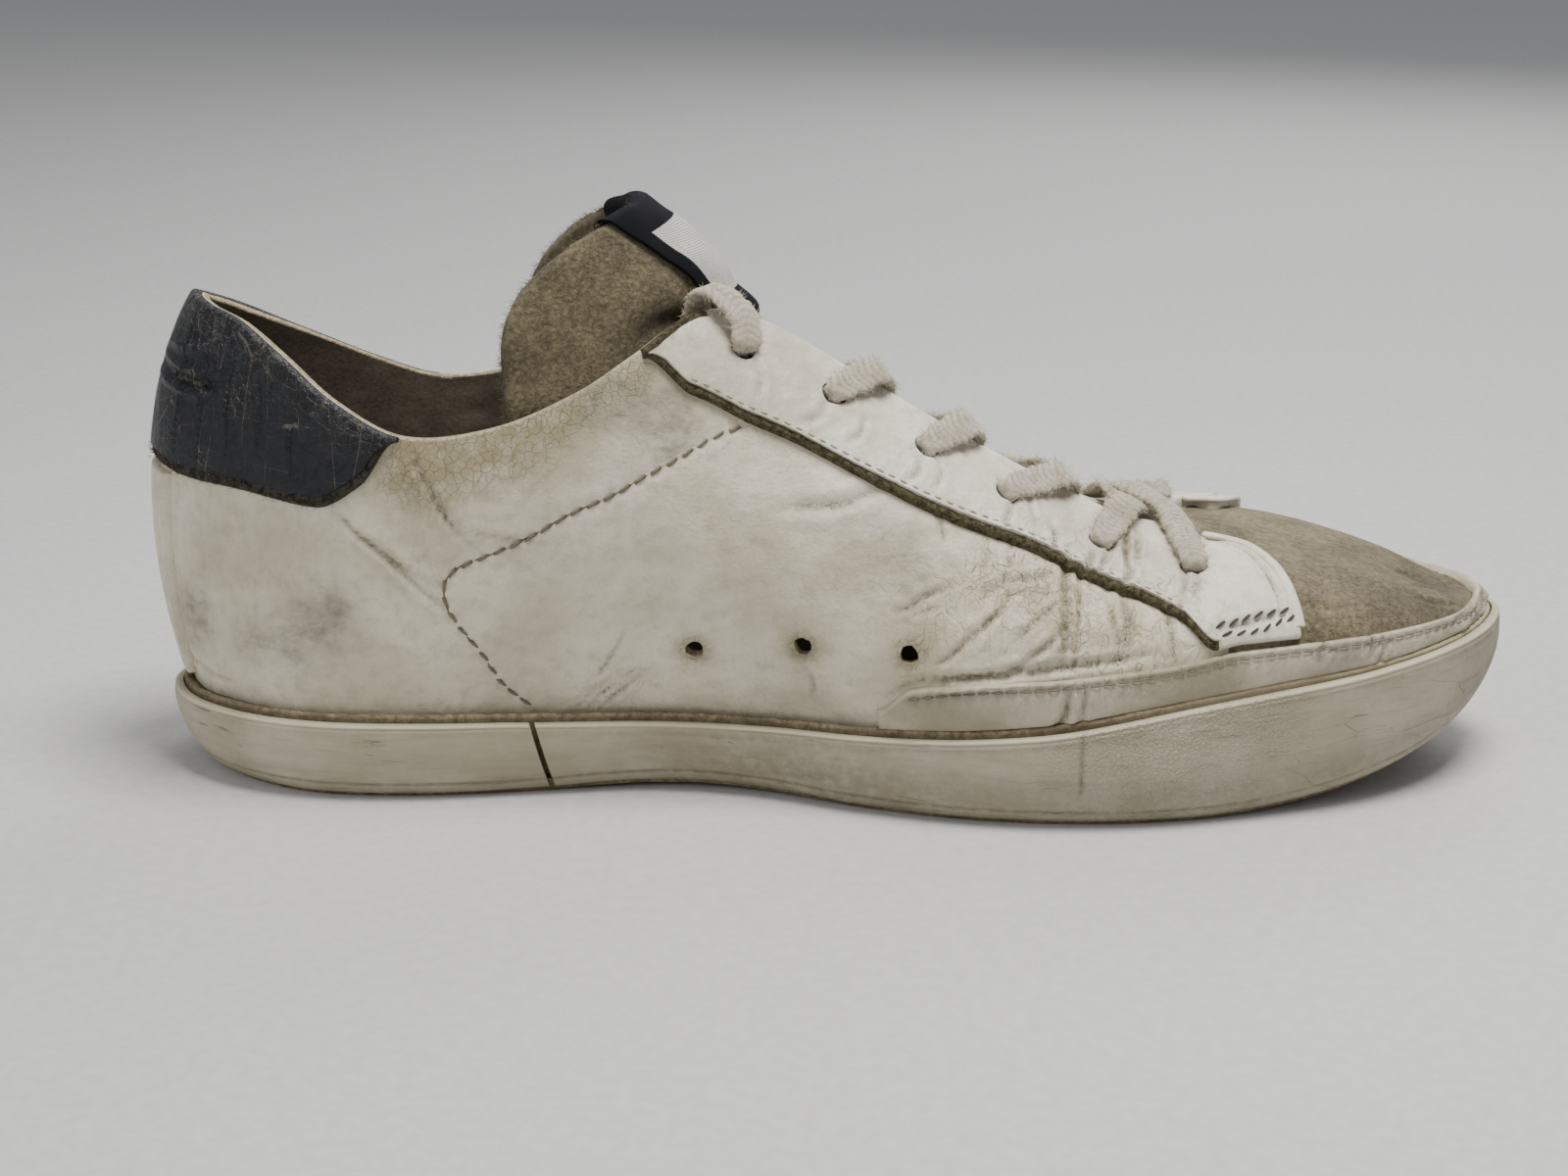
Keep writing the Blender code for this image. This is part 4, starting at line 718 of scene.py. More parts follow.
def closed_sheet(outer, inner, faces, kinds, inner_kinds=BACK):
    """Two faces of a sheet joined round all their edges; kinds are the materials."""
    count = len(outer)
    edges = rim_edges(faces)
    rim = np.stack((edges[:, 1], edges[:, 0], edges[:, 0] + count, edges[:, 1] + count), 1)
    points = np.concatenate((outer, inner))
    all_faces = np.concatenate((faces, faces[:, ::-1] + count, rim))
    inner_kinds = np.broadcast_to(inner_kinds, len(faces))
    all_kinds = np.concatenate((kinds, inner_kinds, np.full(len(rim), CUT)))
    return points, all_faces, all_kinds


def on_both(masks):
    """Masks of one face of a sheet, for both."""
    return {key: np.concatenate((value, value)) for key, value in masks.items()}


def linked(name, data):
    """A new object in the scene."""
    item = bpy.data.objects.new(name, data)
    bpy.context.scene.collection.objects.link(item)
    return item


def build(
    name, points, faces, looks, kinds=None, masks=None, slot=None, stands_for=(), triangles=(),
):
    """Mesh object in the row frame with materials and named masks, riding on the shoe."""
    faces, triangles = np.asarray(faces), np.asarray(triangles, int)
    corners = np.concatenate((faces.ravel(), triangles.ravel()))
    used, corners = np.unique(corners, return_inverse=True)
    points = np.asarray(points)[used] - np.array((HEEL_SEAT, 0, 0))
    quads = corners[:faces.size].reshape(-1, 4).tolist()
    mesh = bpy.data.meshes.new(name)
    mesh.from_pydata(points.tolist(), [], quads + corners[faces.size:].reshape(-1, 3).tolist())
    for look in looks:
        mesh.materials.append(look)
    if kinds is not None:
        mesh.polygons.foreach_set("material_index", np.asarray(kinds, np.int32))
    for mask, values in (masks or {}).items():
        layer = mesh.attributes.new(mask, "FLOAT", "POINT")
        layer.data.foreach_set("value", np.clip(values[used], 0, 1).astype(np.float32))
    mesh.shade_smooth()
    mesh.set_sharp_from_angle(angle=math.radians(60))
    mesh.validate()
    piece = linked(name, mesh)
    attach(piece, "root")
    if stands_for:
        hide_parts(*stands_for)
    return piece


def tube(path, facing, widths, heights, sides=14, power=0.75):
    """Points and faces of a flat cord along a path; facing is out of its flat side."""
    ahead = unit(np.gradient(path, axis=0))
    across = unit(np.cross(facing, ahead))
    normal = unit(np.cross(ahead, across))
    angle = TAU * (np.arange(sides) + 0.5) / sides
    wide = np.sign(np.cos(angle)) * np.abs(np.cos(angle)) ** power
    tall = np.sign(np.sin(angle)) * np.abs(np.sin(angle)) ** power
    points = (
        path[:, None]
        + across[:, None] * (wide * widths[:, None] / 2)[..., None]
        + normal[:, None] * (tall * heights[:, None] / 2)[..., None]
    )
    n = len(path)
    i = np.arange(n - 1)[:, None]
    j = np.arange(sides)[None]
    k = (j + 1) % sides
    faces = np.stack((i * sides + j, (i + 1) * sides + j, (i + 1) * sides + k, i * sides + k), -1)
    caps = []
    for base, turn in ((0, 1), ((n - 1) * sides, -1)):
        for s in range(sides // 2 - 1):
            quad = [base + s, base + s + 1, base + sides - s - 2, base + sides - s - 1]
            caps.append(quad[::turn])
    faces = np.concatenate((faces.reshape(-1, 4)[:, ::-1], np.array(caps)[:, ::-1]))
    return points.reshape(-1, 3), faces


def joined(parts):
    """Several point and face lists as one."""
    points, faces, base = [], [], 0
    for p, f in parts:
        points.append(p)
        faces.append(f + base)
        base += len(p)
    return np.concatenate(points), np.concatenate(faces)


def resample(line, pitch):
    """Evenly spaced points of a polyline."""
    travel = travelled(line)
    at = np.arange(pitch / 2, travel[-1] - pitch * 0.4, pitch)
    return np.stack([np.interp(at, travel, line[:, axis]) for axis in range(3)], 1)


def stitches(line, normals_at, pitch, length, radius, slant=0.0):
    """Short thread loops along a line, each with its ends in the leather."""
    parts = []
    spots = resample(line, pitch)
    ahead = unit(np.gradient(spots, axis=0))
    normals = normals_at(spots)
    for centre, along, normal in zip(spots, ahead, normals):
        side = np.cross(normal, along)
        along = unit(along + side * slant)
        t = np.linspace(-1, 1, 7)
        arch = (1 - t ** 2) * radius * 1.5 - radius * 0.5
        path = centre + along * (t * length / 2)[:, None] + normal * arch[:, None]
        width = radius * 2 * np.array((0.5, 0.85, 1, 1.05, 1, 0.85, 0.5))
        parts.append(tube(path, np.tile(normal, (7, 1)), width, width, sides=6, power=1.0))
    return joined(parts)


def hairs(roots, directions, length, radius, seed):
    """Thin bent fibres on given roots, as three-sided spikes."""
    rng = np.random.default_rng(seed)
    count = len(roots)
    lengths = length * rng.uniform(0.4, 1.3, count)[:, None]
    lean = unit(directions + rng.normal(0, 0.45, (count, 3)))
    bend = rng.normal(0, 0.35, (count, 3)) * lengths
    side = unit(np.cross(lean, rng.normal(size=(count, 3))))
    other = np.cross(lean, side)
    points = []
    for t, thick in ((0.0, 1.0), (0.5, 0.75), (1.0, 0.12)):
        centre = roots + lean * lengths * t + bend * t * t
        for k in range(3):
            angle = TAU * k / 3
            ring = side * math.cos(angle) + other * math.sin(angle)
            points.append(centre + ring * radius * thick)
    points = np.stack(points, 1).reshape(-1, 3)
    quads = []
    for level in (0, 3):
        for k in range(3):
            n = (k + 1) % 3
            quads.append((level + k, level + n, level + 3 + n, level + 3 + k))
    faces = np.array(quads)[None] + (np.arange(count) * 9)[:, None, None]
    return points, faces.reshape(-1, 4)


# Materials


def paint(red, green, blue):
    """Linear colour from display values."""
    display = np.array((red, green, blue)) / 255
    linear = np.where(display <= 0.04045, display / 12.92, ((display + 0.055) / 1.055) ** 2.4)
    return (*(float(value) for value in linear), 1.0)


class Look:
    """A node material made by short calls; sizes are in millimetres on the object."""

    def __init__(self, name, colour, roughness, **values):
        self.material = bpy.data.materials.new(name)
        self.material.use_nodes = True
        self.tree = self.material.node_tree
        self.shader = self.tree.nodes["Principled BSDF"]
        self.set("Base Color", colour)
        self.set("Roughness", roughness)
        for key, value in values.items():
            self.set(key.replace("_", " ").title().replace("Ior", "IOR"), value)
        coordinates = self.tree.nodes.new("ShaderNodeTexCoord")
        self.place = self.scaled(coordinates.outputs["Object"], (1000, 1000, 1000))

    def plug(self, socket, value):
        """Links or sets one input."""
        if isinstance(value, bpy.types.NodeSocket):
            self.tree.links.new(value, socket)
        else:
            socket.default_value = value

    def set(self, name, value):
        """Sets an input of the surface shader."""
        self.plug(self.shader.inputs[name], value)

    def node(self, kind, inputs, out=0, **settings):
        """A new node with inputs by name or number; returns one output."""
        node = self.tree.nodes.new(kind)
        for key, value in settings.items():
            setattr(node, key, value)
        for name, value in inputs.items():
            self.plug(node.inputs[name], value)
        return node.outputs[out]

    def scaled(self, vector, scale):
        return self.node("ShaderNodeMapping", {"Vector": vector, "Scale": scale})

    def noise(self, size, detail=4.0, rough=0.55, warp=0.0, stretch=None):
        """Cloud noise with features of about this size."""
        vector = self.scaled(self.place, stretch) if stretch else self.place
        inputs = {"Vector": vector, "Scale": 1 / size, "Detail": detail}
        inputs.update({"Roughness": rough, "Distortion": warp})
        return self.node("ShaderNodeTexNoise", inputs)

    def cracks(self, size, width, warp=0.8, stretch=None):
        """Thin lines between cells of about this size, 1 on the line."""
        vector = self.scaled(self.place, stretch) if stretch else self.place
        bend = self.node(
            "ShaderNodeTexNoise", {"Vector": vector, "Scale": 0.6 / size, "Detail": 3.0}, out=1
        )
        moved = self.node(
            "ShaderNodeVectorMath",
            {0: bend, 1: (warp * size, warp * size, warp * size), 2: vector},
            operation="MULTIPLY_ADD",
        )
        edge = self.node(
            "ShaderNodeTexVoronoi", {"Vector": moved, "Scale": 1 / size},
            feature="DISTANCE_TO_EDGE",
        )
        return self.span(edge, 0.0, width, 1.0, 0.0)

    def contours(self, size, width, warp, stretch):
        """Flowing lines like those of creased skin, 1 on the line."""
        cloud = self.noise(size, 2.0, 0.5, warp, stretch)
        apart = self.math("ABSOLUTE", self.math("SUBTRACT", cloud, 0.5))
        return self.span(apart, 0.0, width, 1.0, 0.0)

    def span(self, value, low, high, to_low=0.0, to_high=1.0):
        """Eased change from one value to another between two limits."""
        inputs = {"Value": value, "From Min": low, "From Max": high}
        inputs.update({"To Min": to_low, "To Max": to_high})
        return self.node("ShaderNodeMapRange", inputs, interpolation_type="SMOOTHSTEP")

    def mask(self, name):
        """A named mask of the mesh."""
        return self.node("ShaderNodeAttribute", {}, out="Fac", attribute_name=name)

    def math(self, operation, first, second=0.0):
        return self.node("ShaderNodeMath", {0: first, 1: second}, operation=operation)

    def times(self, *values):
        total = values[0]
        for value in values[1:]:
            total = self.math("MULTIPLY", total, value)
        return total

    def plus(self, *values):
        total = values[0]
        for value in values[1:]:
            total = self.math("ADD", total, value)
        return total

    def mix(self, amount, first, second):
        """Colour mix."""
        node = self.tree.nodes.new("ShaderNodeMix")
        node.data_type = "RGBA"
        self.plug(node.inputs[0], amount)
        self.plug(node.inputs[6], first)
        self.plug(node.inputs[7], second)
        return node.outputs[2]

    def bumps(self, *layers):
        """Bump layers as (height, depth in mm), the first one lowest."""
        normal = None
        for height, depth in layers:
            inputs = {"Height": height, "Distance": abs(depth) * MM, "Strength": 1.0}
            if normal is not None:
                inputs["Normal"] = normal
            normal = self.node("ShaderNodeBump", inputs, invert=depth < 0)
        self.set("Normal", normal)
        return self.material


def white_leather(name, clean, aged, gloss, grain=1.0):
    """Worn coated leather: mottled off-white with crackle, dirty patches, yellowed worn places and
    painted shade in its folds.
    """
    look = Look(name, clean, gloss, specular_ior_level=0.42)
    cloud = look.span(look.noise(26, 5, 0.62), 0.36, 0.66)
    mottle = look.noise(3.2, 6, 0.68)
    fine = look.noise(0.55, 4, 0.6)
    crack = look.cracks(1.9, 0.07, 0.9)
    web = look.cracks(0.8, 0.1, 1.2)
    break_up = look.span(look.noise(7, 5, 0.7), 0.38, 0.62)
    colour = look.mix(cloud, clean, aged)
    colour = look.mix(look.span(mottle, 0.45, 0.75, 0.0, 0.35), colour, paint(150, 143, 122))
    tan = look.times(look.mask("tan"), look.span(mottle, 0.25, 0.6, 0.35, 1.0))
    colour = look.mix(look.times(tan, 0.85), colour, paint(164, 151, 112))
    worn = look.span(look.plus(look.mask("tan"), look.mask("fold")), 0.15, 0.9)
    lines = look.times(look.plus(crack, look.times(web, 0.5)), look.span(worn, 0, 1, 0.12, 0.75))
    colour = look.mix(look.times(lines, 0.55), colour, paint(104, 95, 74))
    smear = look.span(look.noise(3.5, 5, 0.7, 0.4, (0.6, 0.6, 1.3)), 0.3, 0.7, 0.5, 1.0)
    grime_and_shade = look.times(look.mask("grime_and_shade"), look.span(break_up, 0, 1, 0.7, 1.0), smear)
    colour = look.mix(look.times(grime_and_shade, 0.75), colour, paint(104, 97, 82))
    # painted shade in the troughs of the folds
    fold_shade = look.times(look.mask("fold"), look.span(mottle, 0.3, 0.6, 0.5, 1.0))
    colour = look.mix(look.times(fold_shade, 0.55), colour, paint(104, 95, 76))
    wrinkle = look.times(look.contours(4.2, 0.06, 0.5, (1.0, 1.0, 0.24)), look.mask("flex"))
    crinkle = look.times(look.contours(2.4, 0.07, 0.3, (1.0, 1.0, 0.5)), look.mask("flex"))
    colour = look.mix(look.times(look.plus(wrinkle, crinkle), 0.08), colour, paint(110, 100, 78))
    look.set("Base Color", colour)
    rough = look.span(mottle, 0.3, 0.7, gloss - 0.08, gloss + 0.14)
    look.set("Roughness", look.plus(rough, look.times(grime_and_shade, 0.15)))
    return look.bumps(
        (look.noise(6.5, 5, 0.62), 0.8 * grain), (lines, -0.14 * grain),
        (wrinkle, -0.2), (crinkle, -0.04),
        (mottle, 0.2 * grain), (fine, 0.06 * grain),
    )


def suede(name, light, dark, nap, pitted, sheen=0.2):
    """Napped leather with short fibres brushed different ways."""
    look = Look(name, light, 0.95, specular_ior_level=0.15, sheen_weight=sheen, sheen_roughness=0.5)
    patch = look.span(look.noise(13, 4, 0.6), 0.38, 0.64)
    tuft = look.noise(nap, 5, 0.7, 0.6, (1.0, 1.0, 1.5))
    hair = look.noise(nap * 0.22, 3, 0.7)
    amount = look.plus(look.times(patch, 0.4), look.span(tuft, 0.3, 0.7, 0.0, 0.6))
    colour = look.mix(amount, light, dark)
    pits = look.span(look.noise(nap * 0.85, 3, 0.6), 0.48, 0.62)
    colour = look.mix(look.times(pits, pitted), colour, dark)
    colour = look.mix(look.times(look.mask("grime_and_shade"), 0.8), colour, paint(60, 53, 41))
    colour = look.mix(look.span(hair, 0.5, 0.72, 0.0, 0.35), colour, light)
    look.set("Base Color", colour)
    return look.bumps(
        (look.noise(5, 3, 0.6), 0.5), (tuft, 0.9), (pits, -0.5 * pitted), (hair, 0.3)
    )


def raw_edge(name, light, dark):
    """Cut edge of leather with its fibres showing."""
    look = Look(name, light, 0.95, specular_ior_level=0.12)
    fibre = look.noise(0.5, 4, 0.75, 0.8)
    chunk = look.noise(1.3, 3, 0.6)
    amount = look.plus(look.span(fibre, 0.35, 0.65, 0.0, 0.6), look.span(chunk, 0.42, 0.6, 0, 0.5))
    look.set("Base Color", look.mix(amount, light, dark))
    return look.bumps((chunk, 0.6), (fibre, 0.4))


def navy_leather():
    """Dark coated leather, glossy, cracked down to its pale base where it flexes, paler along its rubbed
    rim, partly as a painted highlight.
    """
    look = Look("heel_tab_navy", paint(18, 20, 26), 0.36, specular_ior_level=0.32)
    mottle = look.noise(2.6, 6, 0.7)
    fine = look.noise(0.6, 3, 0.6)
    upright = look.cracks(6.5, 0.03, 0.35, (1.0, 1.0, 0.22))
    level = look.cracks(9.5, 0.014, 0.5, (0.3, 0.3, 1.2))
    small = look.cracks(2.3, 0.05, 0.9)
    gaps = look.span(look.noise(6, 3, 0.6), 0.42, 0.62)
    wear_and_sheen = look.mask("wear_and_sheen")
    lines = look.plus(look.times(upright, gaps), look.times(level, gaps, 0.5))
    lines = look.plus(lines, look.times(small, look.span(wear_and_sheen, 0.1, 0.8)))
    deep = look.times(look.span(look.mask("fold"), 0.35, 0.9), look.span(mottle, 0.38, 0.55))
    lines = look.plus(lines, look.times(deep, 0.8))
    colour = look.mix(look.span(mottle, 0.35, 0.7), paint(15, 17, 22), paint(30, 32, 38))
    # paler at the rim and scuffs: real rubbing plus a painted highlight where the rim's gloss catches the
    # light
    scuff_and_sheen = look.times(look.span(wear_and_sheen, 0.25, 1.0), look.span(mottle, 0.52, 0.68))
    colour = look.mix(look.times(scuff_and_sheen, 0.5), colour, paint(104, 102, 98))
    colour = look.mix(look.times(lines, 0.6), colour, paint(122, 116, 104))
    look.set("Base Color", colour)
    rough = look.span(mottle, 0.3, 0.7, 0.26, 0.44)
    look.set("Roughness", look.plus(rough, look.times(wear_and_sheen, -0.1)))
    flecks = look.times(look.noise(1.5, 3, 0.6, 0.6, (1.0, 1.0, 2.0)), look.plus(wear_and_sheen, 0.15))
    return look.bumps(
        (look.noise(5, 4, 0.6, 0.5, (1, 1, 0.5)), 1.2), (lines, -0.35), (mottle, 0.4),
        (flecks, 0.9), (fine, 0.05),
    )


def rubber():
    """Aged sole rubber: greige, in painted shade low down and soiled at the toe, pebbled in places, with
    scuffs, a painted highlight along its lip and painted shade in its groove.
    """
    look = Look("foxing_greige", paint(172, 163, 140), 0.6, specular_ior_level=0.4)
    cloud = look.span(look.noise(30, 5, 0.6), 0.35, 0.65)
    mottle = look.noise(2.4, 6, 0.7)
    speck = look.span(look.noise(0.9, 3, 0.6), 0.66, 0.74)
    streak = look.noise(5, 5, 0.7, 0.3, (0.22, 0.22, 1.6))
    pebble = look.cracks(0.95, 0.3, 0.3)
    scuff = look.cracks(9, 0.012, 0.6, (0.3, 0.3, 1.5))
    colour = look.mix(cloud, paint(182, 174, 153), paint(162, 153, 130))
    colour = look.mix(look.span(streak, 0.45, 0.7, 0.0, 0.4), colour, paint(140, 129, 104))
    # painted shade low down and at the arch, with real soiling at the toe and in the crack
    grime_and_shade = look.times(look.mask("grime_and_shade"), look.span(mottle, 0.3, 0.6, 0.5, 1.0))
    colour = look.mix(look.times(grime_and_shade, 0.75), colour, paint(96, 88, 70))
    colour = look.mix(look.times(speck, 0.35), colour, paint(110, 100, 80))
    marks = look.times(scuff, look.span(look.noise(12, 3), 0.45, 0.6), look.mask("scuff"))
    thin = look.span(look.noise(2.2, 5, 0.75, 0.5, (0.12, 0.12, 1.6)), 0.62, 0.68)
    thin = look.times(thin, look.span(look.noise(16, 3), 0.48, 0.62))
    colour = look.mix(look.times(thin, 0.5), colour, paint(84, 77, 62))
    colour = look.mix(look.times(marks, 0.35), colour, paint(60, 54, 44))
    # painted shade in the groove
    groove = look.times(look.mask("groove"), look.span(mottle, 0.3, 0.6, 0.3, 1.0))
    colour = look.mix(look.times(groove, 0.7), colour, paint(86, 78, 62))
    # painted highlight: a pale line along the top of the lip
    colour = look.mix(look.times(look.mask("edge"), 0.5), colour, paint(224, 215, 186))
    look.set("Base Color", colour)
    look.set("Roughness", look.span(mottle, 0.3, 0.7, 0.5, 0.68))
    grain = look.times(pebble, look.mask("pebble"))
    return look.bumps(
        (streak, 0.2), (mottle, 0.12), (grain, -0.16), (thin, -0.12), (marks, -0.06)
    )


def tan_ledge():
    """The strip between band and upper, blotchy and cracked, with painted shade in the crevices beside
    them.
    """
    look = Look("ledge_tan", paint(142, 126, 92), 0.85, specular_ior_level=0.25)
    mottle = look.noise(1.6, 6, 0.75)
    cloud = look.noise(14, 4, 0.6)
    colour = look.mix(look.span(mottle, 0.35, 0.65), paint(150, 139, 110), paint(102, 92, 70))
    colour = look.mix(look.span(cloud, 0.45, 0.65, 0.0, 0.6), colour, paint(104, 96, 76))
    colour = look.mix(look.times(look.mask("clean"), 0.8), colour, paint(196, 184, 152))
    # painted shade in the crevices beside the band and the upper
    colour = look.mix(look.times(look.mask("grime_and_shade"), 0.9), colour, paint(48, 40, 28))
    look.set("Base Color", colour)
    return look.bumps((mottle, 0.25), (look.noise(0.5, 3), 0.08))


def cotton(name, light, dark):
    """Fluffy woven cotton, grey with use, with painted shade in the hollows of its ribs."""
    look = Look(name, light, 0.95, specular_ior_level=0.1, sheen_weight=0.5, sheen_roughness=0.6)
    fluff = look.noise(0.45, 4, 0.7)
    patch = look.noise(6, 4, 0.6)
    amount = look.plus(look.span(fluff, 0.35, 0.7, 0, 0.5), look.span(patch, 0.4, 0.65, 0, 0.45))
    colour = look.mix(amount, light, dark)
    # painted shade in the hollows of the ribs
    colour = look.mix(look.times(look.mask("weave_shade"), 0.7), colour, paint(112, 102, 82))
    look.set("Base Color", colour)
    return look.bumps((look.noise(1.3, 3, 0.6), 0.25), (fluff, 0.22))


def woven(name, light, dark, ribs):
    """Woven tape with fine ribs."""
    look = Look(name, light, 0.85, specular_ior_level=0.12)
    rib = look.node(
        "ShaderNodeTexWave", {"Vector": look.place, "Scale": ribs, "Distortion": 0.6},
        bands_direction="Z",
    )
    fluff = look.noise(0.35, 3, 0.7)
    amount = look.plus(look.times(rib, 0.45), look.span(fluff, 0.35, 0.7, 0, 0.4))
    look.set("Base Color", look.mix(amount, light, dark))
    return look.bumps((rib, 0.12), (fluff, 0.08))


def plain_cloth(name, light, dark, size=0.8):
    """Lining or footbed cloth rubbed smooth."""
    look = Look(name, light, 0.9, specular_ior_level=0.15, sheen_weight=0.15)
    patch = look.noise(16, 5, 0.6)
    fine = look.noise(size, 4, 0.65)
    amount = look.plus(look.span(patch, 0.35, 0.65, 0, 0.6), look.span(fine, 0.35, 0.7, 0, 0.4))
    look.set("Base Color", look.mix(amount, light, dark))
    return look.bumps((look.noise(5, 3), 0.2), (fine, 0.1))


def thread(name, colour):
    """Sewing thread with its twist."""
    look = Look(name, colour, 0.75, specular_ior_level=0.25)
    twist = look.noise(0.4, 2, 0.6)
    look.set("Base Color", look.mix(look.span(twist, 0.3, 0.7, 0, 0.6), colour, paint(90, 82, 66)))
    return look.bumps((twist, 0.08))


LEATHER = white_leather("leather_white", paint(224, 216, 195), paint(198, 189, 164), 0.43)
STAY_LEATHER = white_leather("leather_stay", paint(221, 215, 200), paint(192, 184, 164), 0.42, 0.8)
GUARD_LEATHER = white_leather("leather_guard", paint(198, 189, 168), paint(158, 149, 126), 0.5)
TOE_SUEDE = suede("toe_suede", paint(160, 148, 117), paint(84, 75, 53), 1.5, 0.25)
TONGUE_SUEDE = suede("tongue_suede", paint(146, 134, 104), paint(72, 63, 44), 1.2, 0.4)
RAW = raw_edge("raw_olive", paint(110, 102, 79), paint(54, 49, 36))
RAW_DARK = raw_edge("raw_dark", paint(92, 87, 77), paint(36, 34, 31))
RAW_TAN = raw_edge("raw_tan", paint(176, 160, 124), paint(118, 100, 68))
RAW_BEIGE = raw_edge("raw_beige", paint(196, 184, 158), paint(140, 126, 100))
LINING = plain_cloth("lining", paint(112, 102, 88), paint(74, 65, 54))
NAVY = navy_leather()
RUBBER = rubber()
LEDGE = tan_ledge()
COTTON = cotton("lace_cotton", paint(208, 199, 179), paint(158, 148, 125))
NAVY_TAPE = woven("label_navy", paint(25, 26, 32), paint(12, 12, 16), 2.2)
WHITE_TAPE = woven("label_field", paint(206, 204, 196), paint(120, 118, 112), 0.8)
FOOTBED = plain_cloth("footbed", paint(120, 112, 96), paint(78, 70, 58))
THREAD = thread("thread_white", paint(196, 188, 168))
THREAD_BLACK = thread("thread_black", paint(66, 62, 56))
THREAD_DARK = thread("thread_dark", paint(122, 114, 98))


# Upper


def edge_round(distance, radius):
    """0 at a cut edge to 1 at a radius from it, along a quarter circle."""
    near = np.clip(distance / radius, 0, 1)
    return np.sqrt(1 - (1 - near) ** 2)


def hole_list(spots, radius, side=1, ragged=0.0):
    """Centre, axis, radius and raggedness of each hole."""
    rows = [(side * row, share) for row, share in spots]
    return [(upper_point(r, s), upper_normal(r, s), radius, ragged) for r, s in rows]


def leather_masks(points):
    """Named masks of the white leather."""
    return {
        "grime_and_shade": spots_value(points, GRIME, 1.4),
        "tan": spots_value(points, YELLOWING),
        # troughs of the folds: painted shade on the white leather, cracks on the navy
        "fold": np.clip(-fold_height(points, ALL_FOLDS) / FOLD_MASK_DEPTH, 0, 1),
        "flex": spots_value(points, FLEXED),
    }


def upper_rows():
    """Running rows of the upper's mesh, finer on the side that the photo shows."""
    loop = 2 * TOE_ROW
    inner = np.linspace(0, THROAT_ROW, 320, endpoint=False)
    toe = np.linspace(THROAT_ROW, TOE_ROW, 60, endpoint=False)
    outer = np.linspace(loop - THROAT_ROW, loop, 100, endpoint=False)
    return np.concatenate((inner, toe, [TOE_ROW], loop - toe[::-1], outer[1:]))


def upper_stains(points, low):
    """Masks of the upper: leather, darkening at its foot, suede stains and ringed vents."""
    masks = leather_masks(points)
    masks["grime_and_shade"] += low
    for row, share in VENTS:
        masks["tan"] += spots_value(points, ((row, share, 4.2, 1.0),))
        masks["grime_and_shade"] += spots_value(points, ((row, share, 2.9, 1.1),))
    masks["grime_and_shade"] += spots_value(points, TOE_STAINS)
    return on_both(masks)


def make_upper():
    """Leather body with folds, punched holes, suede toe and its lining."""
    rows = upper_rows()
    columns = np.concatenate((np.linspace(-0.04, 0.97, 81), (0.98, 0.987, 0.993, 0.997, 1.0)))
    row, share = rows[:, None], columns[None]
    base = upper_point(row, share)
    normal = upper_normal(row, share)
    reach = np.linalg.norm(base[:, -1] - base[:, 0], axis=-1)[:, None]
    k = fold(row)[1]
    to_edge = np.where(k < THROAT_ROW, (1 - share) * reach, 1.0)
    flat = base.reshape(-1, 3)
    relief = base_relief(flat) + seam_relief(flat, QUARTER_SEAM, SEAM_PITCH, 0.5)
    relief = relief.reshape(to_edge.shape) * eased(-0.02, 0.05, share)
    rim = 1 - edge_round(to_edge, 0.6 * MM)
    outer = base + normal * (relief - 0.35 * MM * rim)[..., None]
    inner = base + normal * (0.5 * relief - UPPER_WALL + 0.2 * MM * rim)[..., None]
    sole = midsole_top(foot_line(row, 0.0)[0][..., 0]) + GAP
    for sheet in (outer, inner):
        sheet[..., 2] = np.where(share < 0, sole, sheet[..., 2])
    n, m = to_edge.shape
    # the two sides share the vamp's ridge
    twin = np.arange(n * m)
    for i in np.flatnonzero((rows > TOE_ROW) & (rows <= 2 * TOE_ROW - THROAT_ROW)):
        partner = int(np.abs(rows - (2 * TOE_ROW - rows[i])).argmin())
        twin[i * m + m - 1] = partner * m + m - 1
    faces = twin[grid_faces(n, m, wrap=True)]
    outer, inner = outer.reshape(-1, 3), inner.reshape(-1, 3)
    holes = hole_list(EYELETS, EYELET_RADIUS) + hole_list(EYELETS, EYELET_RADIUS, -1)
    holes += hole_list(VENTS, VENT_RADIUS, ragged=VENT_RAGGED)
    keep = punch(outer, faces, holes)
    punch(inner, faces, holes)
    faces = faces[keep]
    on_toe = np.broadcast_to(k, to_edge.shape).ravel()[faces].mean(1) > THROAT_ROW - 0.05
    near_rim = to_edge.ravel()[faces].mean(1) < 0.6 * MM
    # darker towards the foot of the upper, beside the ledge
    low = 0.55 * np.exp(-np.maximum(share * reach / (2.5 * MM), 0))
    points, faces, kinds = closed_sheet(
        outer, inner, faces, np.where(on_toe, SECOND, FRONT), np.where(near_rim, CUT, BACK)
    )
    return build(
        "upper_leather", points, faces, (LEATHER, LINING, RAW_BEIGE, TOE_SUEDE), kinds,
        upper_stains(flat, low.ravel()), "upper_leather", ("upper",),
    )


def panel_distances(span, band, columns):
    """Distances from a panel's lower edge, set close together at both edges, and their scale."""
    near = np.array((0, 0.25, 0.55, 0.95, 1.4, 1.85, 2.0, 2.15, 2.5, 3.2)) * MM
    if band > 2.2 * MM:
        near = near * band / (2.0 * MM)
    far = np.array((1.6, 1.1, 0.7, 0.35, 0.12, 0)) * MM
    shrink = np.minimum(1, 0.45 * span / near[-1])
    first = near[None] * shrink
    final = span - far[None] * np.minimum(1, 0.4 * span / far[0])
    t = np.linspace(0, 1, columns + 2)[1:-1][None]
    middle = first[:, -1:] + (final[:, :1] - first[:, -1:]) * t
    return np.concatenate((first, middle, final), 1), shrink


